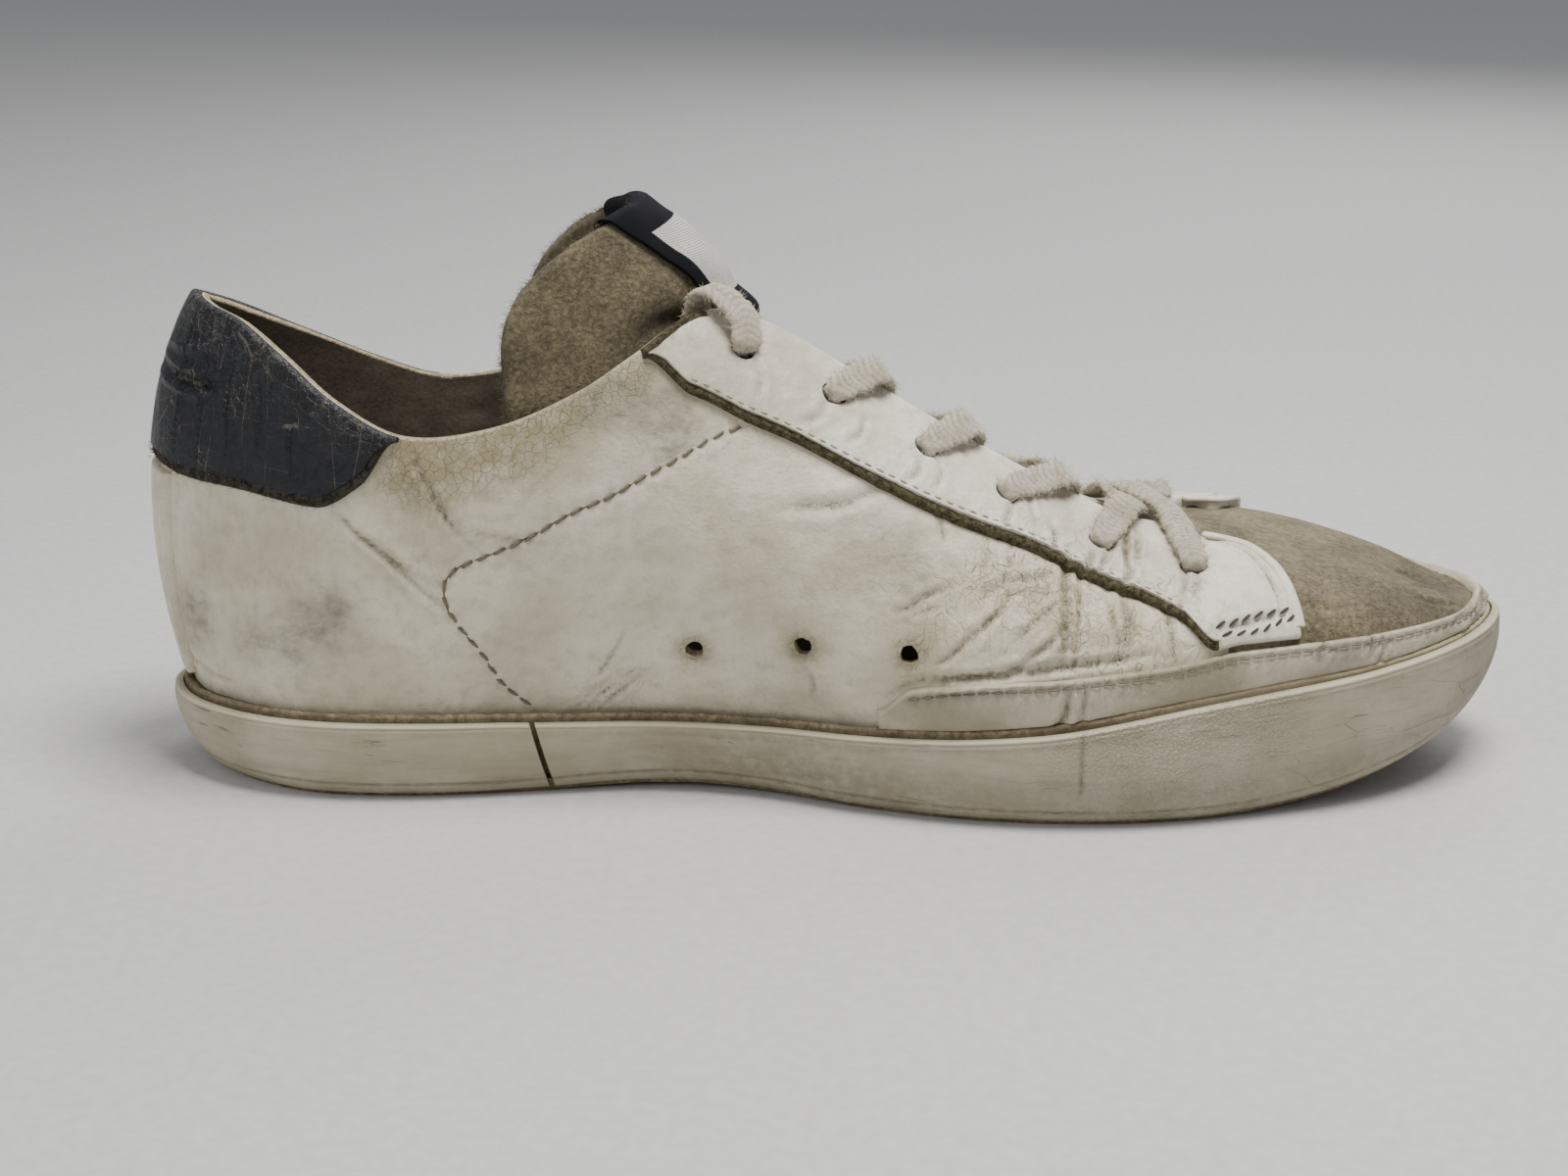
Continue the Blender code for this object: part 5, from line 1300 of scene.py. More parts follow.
def make_overlay(
    name, table, thickness, looks, slot, stands_for, sign=1, rows=240, columns=26, band=0.0,
    top_band=(0.0, 0.0), holes=(), folds=(), radius=0.8, extra=None, seam_spots=(),
):
    """Sewn-on panel between two edges of its table, rounded, with a raw band if it has one."""
    row = np.linspace(table[0][0], table[-1][0], rows)[:, None]
    low = table_value(table, row, 1)
    high = np.minimum(table_value(table, row, 2), 1.0)
    span = np.linalg.norm(upper_point(row, high) - upper_point(row, low), axis=-1)
    distance, shrink = panel_distances(span, band, columns)
    share = low + distance / np.maximum(span, 1e-6) * (high - low)
    running = row * sign
    base = upper_point(running, share)
    normal = upper_normal(running, share)
    travel = travelled(upper_point(running, (low + high) / 2)[:, 0])[:, None]
    ends = np.minimum(travel, travel[-1] - travel)
    to_edge = np.minimum(np.minimum(distance, span - distance), ends)
    raw = (distance < band * shrink * 1.04) & (row < EYESTAY_FRONT_ROW) & (band > 0)
    raw |= (span - distance < top_band[0]) & (row < top_band[1])
    thick = np.where(raw, thickness * 0.62, thickness)
    flat = base.reshape(-1, 3)
    relief = base_relief(flat).reshape(raw.shape) * 0.75
    own_relief = fold_height(
        flat, [(tuple((sign * r, s) for r, s in spots), w, d) for spots, w, d in folds]
    )
    if seam_spots:
        own_relief += seam_relief(flat, seam_spots, GUARD_PITCH, 0.35)
    own_relief = own_relief.reshape(raw.shape)
    rough_edge = np.where(raw, ripple(flat, 1.7 * MM, 11).reshape(raw.shape) * 0.12 * MM, 0)
    lift = (OVERLAY_GAP + thick) * edge_round(to_edge, radius * MM) + relief + own_relief
    lift = lift + rough_edge
    under = np.minimum(lift - 0.05 * MM, 0.05 * MM + relief)
    outer = (base + normal * lift[..., None]).reshape(-1, 3)
    inner = (base + normal * under[..., None]).reshape(-1, 3)
    faces = grid_faces(*raw.shape)
    if sign < 0:
        faces = faces[:, ::-1]
    kinds = np.where(raw.ravel()[faces].all(1), CUT, FRONT)
    keep = punch(outer, faces, holes)
    punch(inner, faces, holes)
    faces, kinds = faces[keep], kinds[keep]
    masks = leather_masks(flat)
    masks["grime_and_shade"] = masks["grime_and_shade"] * 0.6
    masks["tan"] = masks["tan"] * 0.5
    deep = np.clip(-own_relief.ravel() / FOLD_MASK_DEPTH, 0, 1)
    masks["fold"] = np.maximum(masks["fold"] * 0.5, deep)
    if extra:
        extra(masks, flat, (span - distance).ravel())
    points, faces, kinds = closed_sheet(outer, inner, faces, kinds)
    return build(name, points, faces, looks, kinds, on_both(masks), slot, stands_for)


def guard_grime(masks, points, from_top):
    """Dirt that only the low mudguard has, more of it to the toe."""
    patches = np.clip(ripple(points, 17 * MM, 61), 0, 1) * 0.4
    masks["grime_and_shade"] += 0.12 + patches * eased(0.5, 0.9, points[..., 0] / SHOE_LENGTH)


def tab_rub_and_sheen(masks, points, from_top):
    """Rubbed places of the heel tab: its top edge, paler partly as a painted highlight, and a few scuffs.
    """
    # the top edge: real rubbing plus a painted highlight
    rubbed = 0.9 * np.exp(-from_top / (7 * MM))
    masks["wear_and_sheen"] = np.clip(rubbed + spots_value(points, TAB_SCUFFS), 0, 1)


def make_overlays():
    """Eyestays, heel tab, back strip and mudguard."""
    for name, sign in (("eyestay_medial", 1), ("eyestay_lateral", -1)):
        make_overlay(
            name + "_leather", EYESTAY, STAY_THICKNESS, (STAY_LEATHER, RAW, RAW),
            "eyestay_leather", (name,), sign, rows=290, columns=30, band=2.0 * MM,
            top_band=(1.7 * MM, 9.2), holes=hole_list(EYELETS, EYELET_RADIUS, sign),
            folds=STAY_FOLDS,
        )
    make_overlay(
        "heel_tab_navy", HEEL_TAB, TAB_THICKNESS, (NAVY, RAW_DARK, RAW_DARK), "heel_tab_leather",
        ("heel_tab",), rows=260, columns=60, band=2.4 * MM, folds=TAB_FOLDS, radius=1.1,
        extra=tab_rub_and_sheen,
    )
    make_overlay(
        "back_strip_leather", BACK_STRIP, STRIP_THICKNESS, (LEATHER, RAW_TAN, RAW_TAN),
        "back_strip_leather", ("back_strip",), rows=24, columns=40, radius=0.6,
    )
    guard = tuple((row, 0.0, high) for row, low, high in MUDGUARD)
    back = tuple((2 * TOE_ROW - row, low, high) for row, low, high in guard[-2::-1])
    make_overlay(
        "mudguard_leather", guard + back, GUARD_THICKNESS, (GUARD_LEATHER, RAW_TAN, RAW_TAN),
        "mudguard_leather", ("mudguard",), rows=560, columns=18, radius=0.7,
        folds=GUARD_FOLDS + mirrored(GUARD_FOLDS, 0.0), extra=guard_grime,
        seam_spots=offset_spots(MUDGUARD, 2, GUARD_SEAM_INSET, 11.0, 21.2, 40),
    )


# Sole


def foxing_depth(x, shares, span):
    """How far the band's face is inside the outline: roll, groove, bead and lip."""
    rise = FOXING_LOW + shares * span
    from_top = (1 - shares) * span
    depth = edge_tuck(x, rise) + FOXING_LEAN * shares ** 3
    depth = depth + 0.25 * MM * eased(1.5 * MM, 0.9 * MM, from_top)
    depth = depth - 0.2 * MM * bell(from_top, 0.5 * MM, 0.35 * MM)
    depth = depth + 0.35 * MM * bell(rise, FOXING_GROOVE_HEIGHT, 0.35 * MM)
    depth = depth + FOXING_LIP * (1 - edge_round(from_top, FOXING_LIP))
    return depth + 0.5 * MM * (1 - edge_round(shares * span, 0.5 * MM))


def foxing_masks(x, heights, from_top, crack):
    """Soiling and painted shade low down, painted highlight on the lip, painted shade in the groove,
    pebbled ball and scuffs at the toe of the band.
    """
    x = x / SHOE_LENGTH
    # Darker: painted shade along the bottom and at the arch, where the band turns under; soiling towards
    # the toe; a darker band just under the lip and one halfway up towards the front; the crack.
    dirt_and_shade = 0.8 * np.exp(-heights / (1.6 * MM)) + 0.4 * eased(0.93, 1.0, x)
    dirt_and_shade = dirt_and_shade + 0.45 * bell(x, 0.47, 0.12) + 0.4 * bell(from_top, 1.9 * MM, 0.5 * MM)
    dirt_and_shade = dirt_and_shade + 0.35 * bell(heights, 7 * MM, 4 * MM) * eased(0.3, 0.5, x)
    masks = {
        "grime_and_shade": dirt_and_shade + crack,
        # painted highlight: a pale line along the top of the lip
        "edge": 0.95 * bell(from_top, 0.3 * MM, 0.35 * MM),
        # painted shade in the groove
        "groove": 0.8 * bell(heights, FOXING_GROOVE_HEIGHT, 0.4 * MM),
        "pebble": eased(0.6, 0.7, x) * eased(0.86, 0.78, x),
        "scuff": np.clip(0.25 + eased(0.68, 0.8, x), 0, 1),
    }
    return {key: value.ravel() for key, value in masks.items()}


def make_foxing():
    """Side band, rolled below, with a lip on top and flat ends at its slanted split."""
    stations = foot_line(np.arange(TOE_ROW + 1.0), 0.0)[0][:, 0]
    joint = float(np.interp(FOXING_JOINT, stations, range(TOE_ROW + 1)))
    loop = 2 * TOE_ROW
    steps = np.array(FOXING_END_STEPS)
    way = np.linspace(FOXING_END, loop - FOXING_END, 640)
    way = np.concatenate((steps, way, loop - steps[::-1]))[:, None]
    outer, outward = foot_line(joint + way, 0.0)
    x = outer[..., 0]
    up = np.array((0, 0, 1.0))
    along = np.cross(up, outward)
    floor = floor_height(x)
    span = foxing_top(x) - floor - FOXING_LOW
    front = np.concatenate((np.linspace(0, 0.3, 15), np.linspace(0.34, 0.9, 11), np.linspace(0.92, 1, 8)))
    back = np.array((1.0, 0.6, 0.3, 0.0))
    shares = np.concatenate((front, back))[None]
    behind = np.arange(shares.size)[None] >= len(front)
    rise = FOXING_LOW + shares * span
    depth = np.where(behind, edge_tuck(x, rise) + FOXING_WALL, foxing_depth(x, shares, span))
    end_side = np.where(way < FOXING_END, 1.0, np.where(way > loop - FOXING_END, -1.0, 0.0))
    ends = np.clip(1 - np.minimum(way, loop - way) / 0.25, 0, 1)
    slant = (end_side * FOXING_JOINT_GAP / 2 + (shares - 0.5) * FOXING_JOINT_SLANT) * ends
    base = outer - outward * depth[..., None] + along * slant[..., None]
    base = base + up * (floor + rise)[..., None]
    wave = ripple(base.reshape(-1, 3), 26 * MM, 21).reshape(depth.shape) * 0.12 * MM
    crack = bell(base[..., 0], FOXING_CRACK, 0.35 * MM) * (base[..., 1] < 0)
    crack = np.where(behind, 0, crack * eased(0.25, 0.4, shares))
    dent = np.where(behind, 0, wave - 0.35 * MM * crack)
    points = base + outward * dent[..., None]
    n, m = depth.shape
    i = np.arange(n - 1)
    close = np.stack((i * m + m - 1, (i + 1) * m + m - 1, (i + 1) * m, i * m), 1)
    caps = []
    for start, turn in ((0, -1), ((n - 1) * m, 1)):
        for low in range(m // 2 - 1):
            high = m - 1 - low
            caps.append([start + s for s in (low, low + 1, high - 1, high)][::turn])
    masks = foxing_masks(
        np.broadcast_to(x, (n, m)), rise, np.where(behind, 1.0, (1 - shares) * span), crack
    )
    build(
        "foxing_band", points.reshape(-1, 3), np.concatenate((grid_faces(n, m), close, caps)),
        (RUBBER,), None, masks, "foxing_rubber", ("foxing",),
    )


def make_midsole():
    """Cup whose rim shows as the tan ledge under the upper."""
    outer, outward = foot_line(np.linspace(0, 2 * TOE_ROW, 560, endpoint=False), 0.0)
    x = outer[:, 0]
    depth = FOXING_WALL + GAP
    low = OUTSOLE_THICKNESS + GAP
    rim = ledge_top(x)
    # inset from the outline, height, painted shade in the crevices by the band and the upper
    wall = (
        (edge_tuck(x, low) + depth, floor_height(x) + low, 0.0),
        (depth, foxing_top(x) - 3 * MM, 0.35),
        (depth, rim - 0.9 * MM, 0.45),
        (depth + 0.15 * MM, rim - 0.4 * MM, 0.0),
        (depth + 0.5 * MM, rim, 0.0),
        (depth + 1.2 * MM, rim - 0.1 * MM, 0.35),
        (depth + CUP_RIM + 0.3 * MM, rim - 0.5 * MM, 1.0),
        (depth + CUP_RIM, midsole_top(x), 1.0),
    )
    rings = []
    for inset, height, _ in wall:
        ring = outer - outward * np.reshape(inset, (-1, 1))
        ring[:, 2] = height
        rings.append(ring)
    points = np.stack(rings, 1)
    n, m = points.shape[:2]
    bumpy = ripple(points.reshape(-1, 3), 4 * MM, 31).reshape(n, m) * 0.12 * MM
    points[:, 2:7, 2] += bumpy[:, 2:7]
    half = n // 2
    caps, triangles = [], []
    for j, turn in ((0, -1), (m - 1, 1)):
        for i in range(1, half - 1):
            caps.append([s * m + j for s in (i, i + 1, n - i - 1, n - i)][::turn])
        for tip in ((0, 1, n - 1), (half - 1, half, half + 1)):
            triangles.append([s * m + j for s in tip][::turn])
    dirt_and_shade = np.tile([row[2] for row in wall], n)
    to_toe = np.repeat(eased(0.66, 0.8, x / SHOE_LENGTH), m)
    build(
        "midsole_cup", points.reshape(-1, 3), np.concatenate((grid_faces(n, m, wrap=True), caps)),
        (LEDGE,), None, {"grime_and_shade": dirt_and_shade, "clean": to_toe * (0.9 - 0.5 * dirt_and_shade)}, "midsole_foam",
        ("midsole",), triangles,
    )


# Tongue and label


def tongue_value(name, at):
    """A column of the tongue table at any row."""
    index = TONGUE_COLUMNS.index(name)
    return catmull([row[index] for row in TONGUE], at, -1, -1)


def tongue_point(at, across):
    """Outer face of the tongue: at counts its rows, across runs -1 (inner) to 1."""
    at, across = np.broadcast_arrays(np.asarray(at, float), np.asarray(across, float))
    side = np.where(across < 0, -1.0, 1.0)
    row, wing = tongue_value("row", at), tongue_value("wing", at)
    spring = tongue_value("spring", at)
    sink = -(UPPER_WALL + TONGUE_GAP + tongue_value("room", at) * LACE_ROOM)
    amount = np.abs(across)
    running = np.where(side < 0, row, -row)
    start = lifted(running, spring, sink)
    other = lifted(-running, spring, sink)
    middle = (start + other) / 2
    middle[..., 0] += tongue_value("forward", at) * UPPER_HEIGHT
    middle[..., 2] += tongue_value("rise", at) * UPPER_HEIGHT
    down = np.clip((amount - TONGUE_BRIDGE) / (1 - TONGUE_BRIDGE), 0, 1)
    wings = lifted(running, spring + (wing - spring) * down, sink)
    arrival = rib_handles(running)[4]
    length = np.linalg.norm(middle - start, axis=-1, keepdims=True)
    first = start + arrival * length * 0.40
    second = middle + np.stack((0 * side, side, 0 * side), -1) * length * 0.45
    t = np.clip(1 - amount / TONGUE_BRIDGE, 0, 1)[..., None]
    s = 1 - t
    bridge = start * s ** 3 + first * 3 * s * s * t + second * 3 * s * t * t + middle * t ** 3
    return np.where((amount > TONGUE_BRIDGE)[..., None], wings, bridge)


def tongue_normal(at, across):
    """Outward normal of the tongue's outer face."""
    near = np.clip(across, -0.97, 0.97)
    level = np.clip(at, 0.06, TONGUE_TOP - 0.06)
    side = tongue_point(level, near + 0.02) - tongue_point(level, near - 0.02)
    up = tongue_point(level + 0.05, near) - tongue_point(level - 0.05, near)
    return -unit(np.cross(up, side))


def make_tongue():
    """Thick suede tongue with rounded, ragged edges."""
    at = np.linspace(0, TONGUE_TOP, 160)[:, None]
    across = np.concatenate((
        -1 + np.array((0, 0.006, 0.014, 0.024, 0.036)), np.linspace(-0.95, 0.95, 96),
        1 - np.array((0.036, 0.024, 0.014, 0.006, 0)),
    ))[None]
    base = tongue_point(at, across)
    normal = tongue_normal(at, across)
    steps = np.linalg.norm(np.diff(base, axis=1), axis=-1)
    travel = np.concatenate((np.zeros((len(base), 1)), np.cumsum(steps, 1)), 1)
    to_side = np.minimum(travel, travel[:, -1:] - travel)
    climb = np.linalg.norm(np.diff(base, axis=0), axis=-1)
    height = np.concatenate((np.zeros((1, base.shape[1])), np.cumsum(climb, 0)), 0)
    to_edge = np.minimum(to_side, height[-1:] - height)
    round_off = 2.0 * MM * (1 - edge_round(to_edge, 2.0 * MM))
    flat = base.reshape(-1, 3)
    wave = (ripple(flat, 22 * MM, 41) * 0.35 * MM + ripple(flat, 5 * MM, 42) * 0.1 * MM)
    wave = wave.reshape(to_edge.shape)
    outer = base + normal * (wave - round_off)[..., None]
    inner = base + normal * (round_off - TONGUE_THICKNESS + wave * 0.5)[..., None]
    ragged = ripple(flat, 2.2 * MM, 43).reshape(to_edge.shape) * 0.25 * MM
    ragged = ragged * np.exp(-to_edge / (1.0 * MM))
    outer[..., 2] += ragged
    inner[..., 2] += ragged
    faces = grid_faces(*base.shape[:2])[:, ::-1]
    points, faces, _ = closed_sheet(
        outer.reshape(-1, 3), inner.reshape(-1, 3), faces, np.zeros(len(faces), int)
    )
    return build(
        "tongue_suede", points, faces, (TONGUE_SUEDE,), None, {"grime_and_shade": np.zeros(len(points))},
        "tongue_suede", ("tongue",),
    )


def make_label():
    """Woven strip on the tongue's front, folded over its top, with a bare pale field."""
    at = np.linspace(LABEL_LOW, LABEL_TURN, 70)
    across = np.linspace(-LABEL_SPREAD, LABEL_SPREAD, 46)
    base = tongue_point(at[:, None], across[None])
    normal = tongue_normal(at[:, None], across[None])
    top, top_normal = base[-1:], normal[-1:]
    beyond = tongue_point(np.array([[TONGUE_TOP - 0.02]]), across[None])
    up = unit(beyond - top)
    turn = np.linspace(0, math.pi * 0.9, LABEL_TURN_STEPS + 1)[1:, None, None]
    half = TONGUE_THICKNESS / 2
    clear = OVERLAY_GAP * 0.6
    core = beyond - top_normal * half - up * half
    wrap_normal = top_normal * np.cos(turn) + up * np.sin(turn)
    points = np.concatenate((base + normal * clear, core + wrap_normal * (half + clear)))
    normals = unit(np.concatenate((normal, wrap_normal)))
    pucker = ripple(points.reshape(-1, 3), 9 * MM, 51).reshape(points.shape[:2]) * 0.25 * MM
    outer = points + normals * (LABEL_THICKNESS * 0.9 + pucker)[..., None]
    inner = points + normals * pucker[..., None]
    n, m = points.shape[:2]
    faces = grid_faces(n, m)[:, ::-1]
    level = np.concatenate((at, np.full(LABEL_TURN_STEPS, TONGUE_TOP + 1.0)))[faces // m].mean(1)
    place = np.abs(across[faces % m].mean(1))
    field = (level > LABEL_FIELD[0]) & (level < LABEL_FIELD[1]) & (place < LABEL_FIELD_SPREAD)
    points, faces, kinds = closed_sheet(
        outer.reshape(-1, 3), inner.reshape(-1, 3), faces, np.where(field, SECOND, FRONT)
    )
    return build(
        "tongue_label_tape", points, faces, (NAVY_TAPE, NAVY_TAPE, NAVY_TAPE, WHITE_TAPE), kinds,
        None, "label_cloth", ("tongue_label",),
    )


# Laces


def lace_path(points, normals, widths, steps=16):
    """Smooth path, facing and widths of a lace through a short list of points."""
    at = np.linspace(0, len(points) - 1, (len(points) - 1) * steps + 1)
    path = catmull(np.array(points), at, -1, -1)
    facing = unit(catmull(np.array(normals), at, -1, -1))
    return path, facing, catmull(np.array(widths, float), at, -1, -1) * MM


def lace_mesh(path, facing, widths, seed):
    """A flat woven cord: ribbed, uneven and a little twisted."""
    rng = np.random.default_rng(seed)
    travel = travelled(path)
    count = max(int(travel[-1] / (0.35 * MM)), 12)
    even = np.linspace(0, travel[-1], count)

    def spread(values):
        if values.ndim == 1:
            return np.interp(even, travel, values)
        return np.stack([np.interp(even, travel, values[:, i]) for i in range(3)], 1)

    path, facing, widths = spread(path), unit(spread(facing)), spread(widths)
    phase = rng.uniform(0, TAU, 3)
    uneven = 1 + 0.05 * np.sin(even / (5 * MM) * TAU + phase[0])
    uneven = uneven + 0.04 * np.sin(even / (2.3 * MM) * TAU + phase[1])
    heights = LACE_THICKNESS * (LACE_WIDTH / widths) ** 0.5 * 0.9
    sides = 24
    points, faces = tube(path, facing, widths * uneven, heights, sides=sides, power=0.8)
    grid = points.reshape(count, sides, 3)
    outward = unit(grid - path[:, None])
    angle = TAU * (np.arange(sides) + 0.5) / sides
    chevron = (even[:, None] / (1.5 * MM) + 0.55 * np.abs(np.cos(angle))[None] * 2) % 1.0
    rib = np.abs(chevron - 0.5) * 2
    middle_groove = bell(np.cos(angle), 0, 0.16)[None]
    height = (0.14 * rib - 0.16 * middle_groove + 0.07 * rng.normal(size=grid.shape[:2])) * MM
    grid = grid + outward * height[..., None]
    # painted shade in the hollows between the ribs and in the middle groove
    weave_shade = np.clip(1 - rib * 1.1 + 0.4 * middle_groove, 0, 1) * 0.8
    return grid.reshape(-1, 3), faces, weave_shade.ravel(), (path, outward, grid)


# roots and directions of the fibres of every stretch
lace_fluff = []


def add_lace(name, points, normals, widths, seed, stands_for=()):
    """One stretch of lace with its fluff kept for later."""
    path, facing, wide = lace_path(points, normals, widths)
    mesh_points, faces, weave_shade, (line, outward, grid) = lace_mesh(path, facing, wide, seed)
    rng = np.random.default_rng(seed + 100)
    count = int(len(line) * 6.5)
    rows = rng.integers(0, len(line), count)
    columns = rng.integers(0, grid.shape[1], count)
    lace_fluff.append((grid[rows, columns], outward[rows, columns]))
    piece = build(
        name, mesh_points, faces, (COTTON,), None, {"weave_shade": weave_shade}, "lace_cotton", stands_for
    )
    return piece, line


def over_hole(side, eyelet):
    """Running row and share of an eyelet on one side."""
    row, share = EYELETS[eyelet]
    return -side * row, share


def lace_diagonal(side, low, high, over):
    """Route from a hole under one eyestay, over the tongue, to the hole across."""
    start_row, start_share = over_hole(side, low)
    end_row, end_share = over_hole(-side, high)
    rows = [abs(start_row) + (abs(end_row) - abs(start_row)) * u for u in LACE_CROSSINGS[high]]
    sign = -side
    high_lift = LACE_OVER if over else LACE_UNDER
    edge_rise = LACE_EDGE_RISE if over else -LACE_EDGE_DIP
    spots = [
        (sign * rows[0], (start_share + 1) / 2, LACE_UNDER),
        (sign * rows[1], 1.0, LACE_UNDER - LACE_EDGE_DIP),
        (-sign * rows[2], 1.0, high_lift + edge_rise),
        (-sign * rows[3], (end_share + 1) / 2, high_lift),
    ]
    points = [lifted(*spot) for spot in spots]
    normals = [upper_normal(spot[0], spot[1]) for spot in spots]
    widths = [6.0, 6.2, 6.6, 6.6]
    if over:
        hole = upper_normal(end_row, end_share)
        centre = upper_point(end_row, end_share)
        points.append(lifted(end_row, end_share, high_lift - 0.7 * MM))
        normals.append(hole)
        widths.append(5.0)
        toward = unit(points[-1] - points[-2])
        points += [centre + hole * 0.5 * MM + toward * 0.4 * MM, centre - hole * 3.2 * MM]
        normals += [unit(hole * 0.2 + toward), toward]
        widths += [4.4, 4.4]
    middle = (points[1] + points[2]) / 2
    tongue_face = tongue_point(TONGUE_SEAM_ROW - (rows[1] + rows[2]) / 2, 0.0)
    middle[2] = max(middle[2], tongue_face[2] + LACE_ROOM + LACE_THICKNESS / 2)
    middle[2] += 1.0 * MM * side
    middle_normal = unit(normals[1] + normals[2])
    widths = widths[:2] + [6.6] + widths[2:]
    return points[:2] + [middle] + points[2:], normals[:2] + [middle_normal] + normals[2:], widths


def make_laces():
    """Every crossing's two halves, the slack bar and the two tucked ends."""
    for high in range(len(EYELETS) - 1):
        for side in (-1, 1):
            points, normals, widths = lace_diagonal(side, high + 1, high, high > 0)
            tail = "a" if side < 0 else "b"
            stands_for = (f"lace_cross_{high + 1}",) if side < 0 else ()
            seed = 60 + 2 * high + (side > 0)
            add_lace(f"lace_{high + 1}{tail}", points, normals, widths, seed, stands_for)
    make_lace_bar()
    for side, name in ((-1, "lace_end_medial"), (1, "lace_end_lateral")):
        make_lace_end(side, name)


def make_lace_bar():
    """Slack bar over the lowest pair of eyelets."""
    row, share = EYELETS[-1]
    near = ((row, share), (row - 0.15, 0.84), (row - 0.5, 1.0))
    apex = (top_edge(row - 1.05) + top_edge(1.05 - row)) / 2 + np.array((0, 0, LACE_BAR_RISE))
    halves = []
    for sign in (1, -1):
        points = [lifted(sign * r, s, LACE_OVER) for r, s in near]
        points[-1][2] += LACE_THICKNESS / 2
        normals = [upper_normal(sign * r, s) for r, s in near]
        inside = [points[0] - normals[0] * 3.2 * MM, points[0] - normals[0] * 7 * MM]
        toward = unit(points[1] - points[0])
        halves.append((inside[::-1] + points, [-toward, -toward + normals[0]] + normals))
    points = halves[0][0] + [apex] + halves[1][0][::-1]
    normals = halves[0][1] + [np.array((0, 0, 1.0))] + halves[1][1][::-1]
    widths = [4.2, 4.4, 5.2, 6.4, 6.8, 7.0, 6.8, 6.4, 5.2, 4.4, 4.2]
    add_lace("lace_bar_cord", points, normals, widths, 80, ("lace_bar",))


def make_lace_end(side, name):
    """From the top eyelet over the eyestay's end and down behind it."""
    row, share = over_hole(side, 0)
    sign = -side
    up = np.array((0, 0, 1.0))
    hole = upper_normal(row, share)
    crest = upper_point(sign * LACE_TUCK[0][0], 1.0) + up * LACE_TUCK_RISE
    over_edge = lifted(row, 0.965, LACE_OVER + LACE_THICKNESS / 2)
    start = lifted(row, share, LACE_OVER)
    toward = unit(over_edge - start)
    points = [start - hole * 7.2 * MM, start - hole * 2.6 * MM, start, over_edge, crest]
    normals = [-toward, unit(hole - toward), hole, upper_normal(row, 0.965), up]
    widths = [4.2, 4.6, 6.4, 7.8, 8.2]
    for tuck_row, tuck_share in LACE_TUCK[1:]:
        points.append(lifted(sign * tuck_row, tuck_share, LACE_TUCKED))
        normals.append(-upper_normal(sign * tuck_row, tuck_share))
        widths.append(6.4)
    piece, line = add_lace(name + "_cord", points, normals, widths, 90 + side, (name,))


def add_fluff():
    """Loose fibres of the laces as one piece."""
    roots = np.concatenate([item[0] for item in lace_fluff])
    out = np.concatenate([item[1] for item in lace_fluff])
    points, faces = hairs(roots, out, 1.2 * MM, 0.055 * MM, 7)
    masks = {"weave_shade": np.zeros(len(points))}
    build("lace_fluff", points, faces, (COTTON,), None, masks, "lace_cotton")


# Seams and small edges


def upper_normals_near(line_rows):
    """Normals of the upper for points that lie along given rows and shares."""
    spots = np.array(line_rows)
    at = np.linspace(0, len(spots) - 1, (len(spots) - 1) * 20 + 1)
    row, share = catmull(spots, at, -1, -1).T
    places = upper_point(row, share)
    normals = upper_normal(row, share)

    def nearest(points):
        apart = np.linalg.norm(points[:, None] - places[None], axis=-1)
        return normals[apart.argmin(1)]

    return nearest


def seam(name, spots, lift, pitch, length, radius, look, slot, slant=0.0, follow=0.75, under=0):
    """A row of stitches through rib rows and shares, on one or both sides."""
    parts = []
    for sign in (1, -1):
        placed = [(sign * row, share) for row, share in spots]
        line = route(placed, lift, 20)
        normals_at = upper_normals_near(placed)
        line = line + normals_at(line) * (follow * base_relief(line))[:, None]
        parts.append(stitches(line, normals_at, pitch, length, radius, slant=slant * sign))
        if under:
            even = resample(line, pitch / 6)
            facing = normals_at(even)
            side = np.cross(facing, unit(np.gradient(even, axis=0)))
            wave = np.sin(TAU * np.arange(len(even)) / 6) * 0.16 * MM
            width = np.full(len(even), under * 2)
            path = even + side * wave[:, None] - facing * 0.1 * MM
            parts.append(tube(path, facing, width, width, sides=6, power=1.0))
    points, faces = joined(parts)
    build(name, points, faces, (look,), None, None, slot)


def offset_spots(table, column, distance, first, last, count=24):
    """Rib rows and shares at a distance inside a panel's edge."""
    row = np.linspace(first, last, count)
    edge = np.minimum(table_value(table, row, column), 1.0)
    scale = np.linalg.norm(upper_point(row, 0.6) - upper_point(row, 0.5), axis=-1) / 0.1
    return list(zip(row, edge + distance / scale))


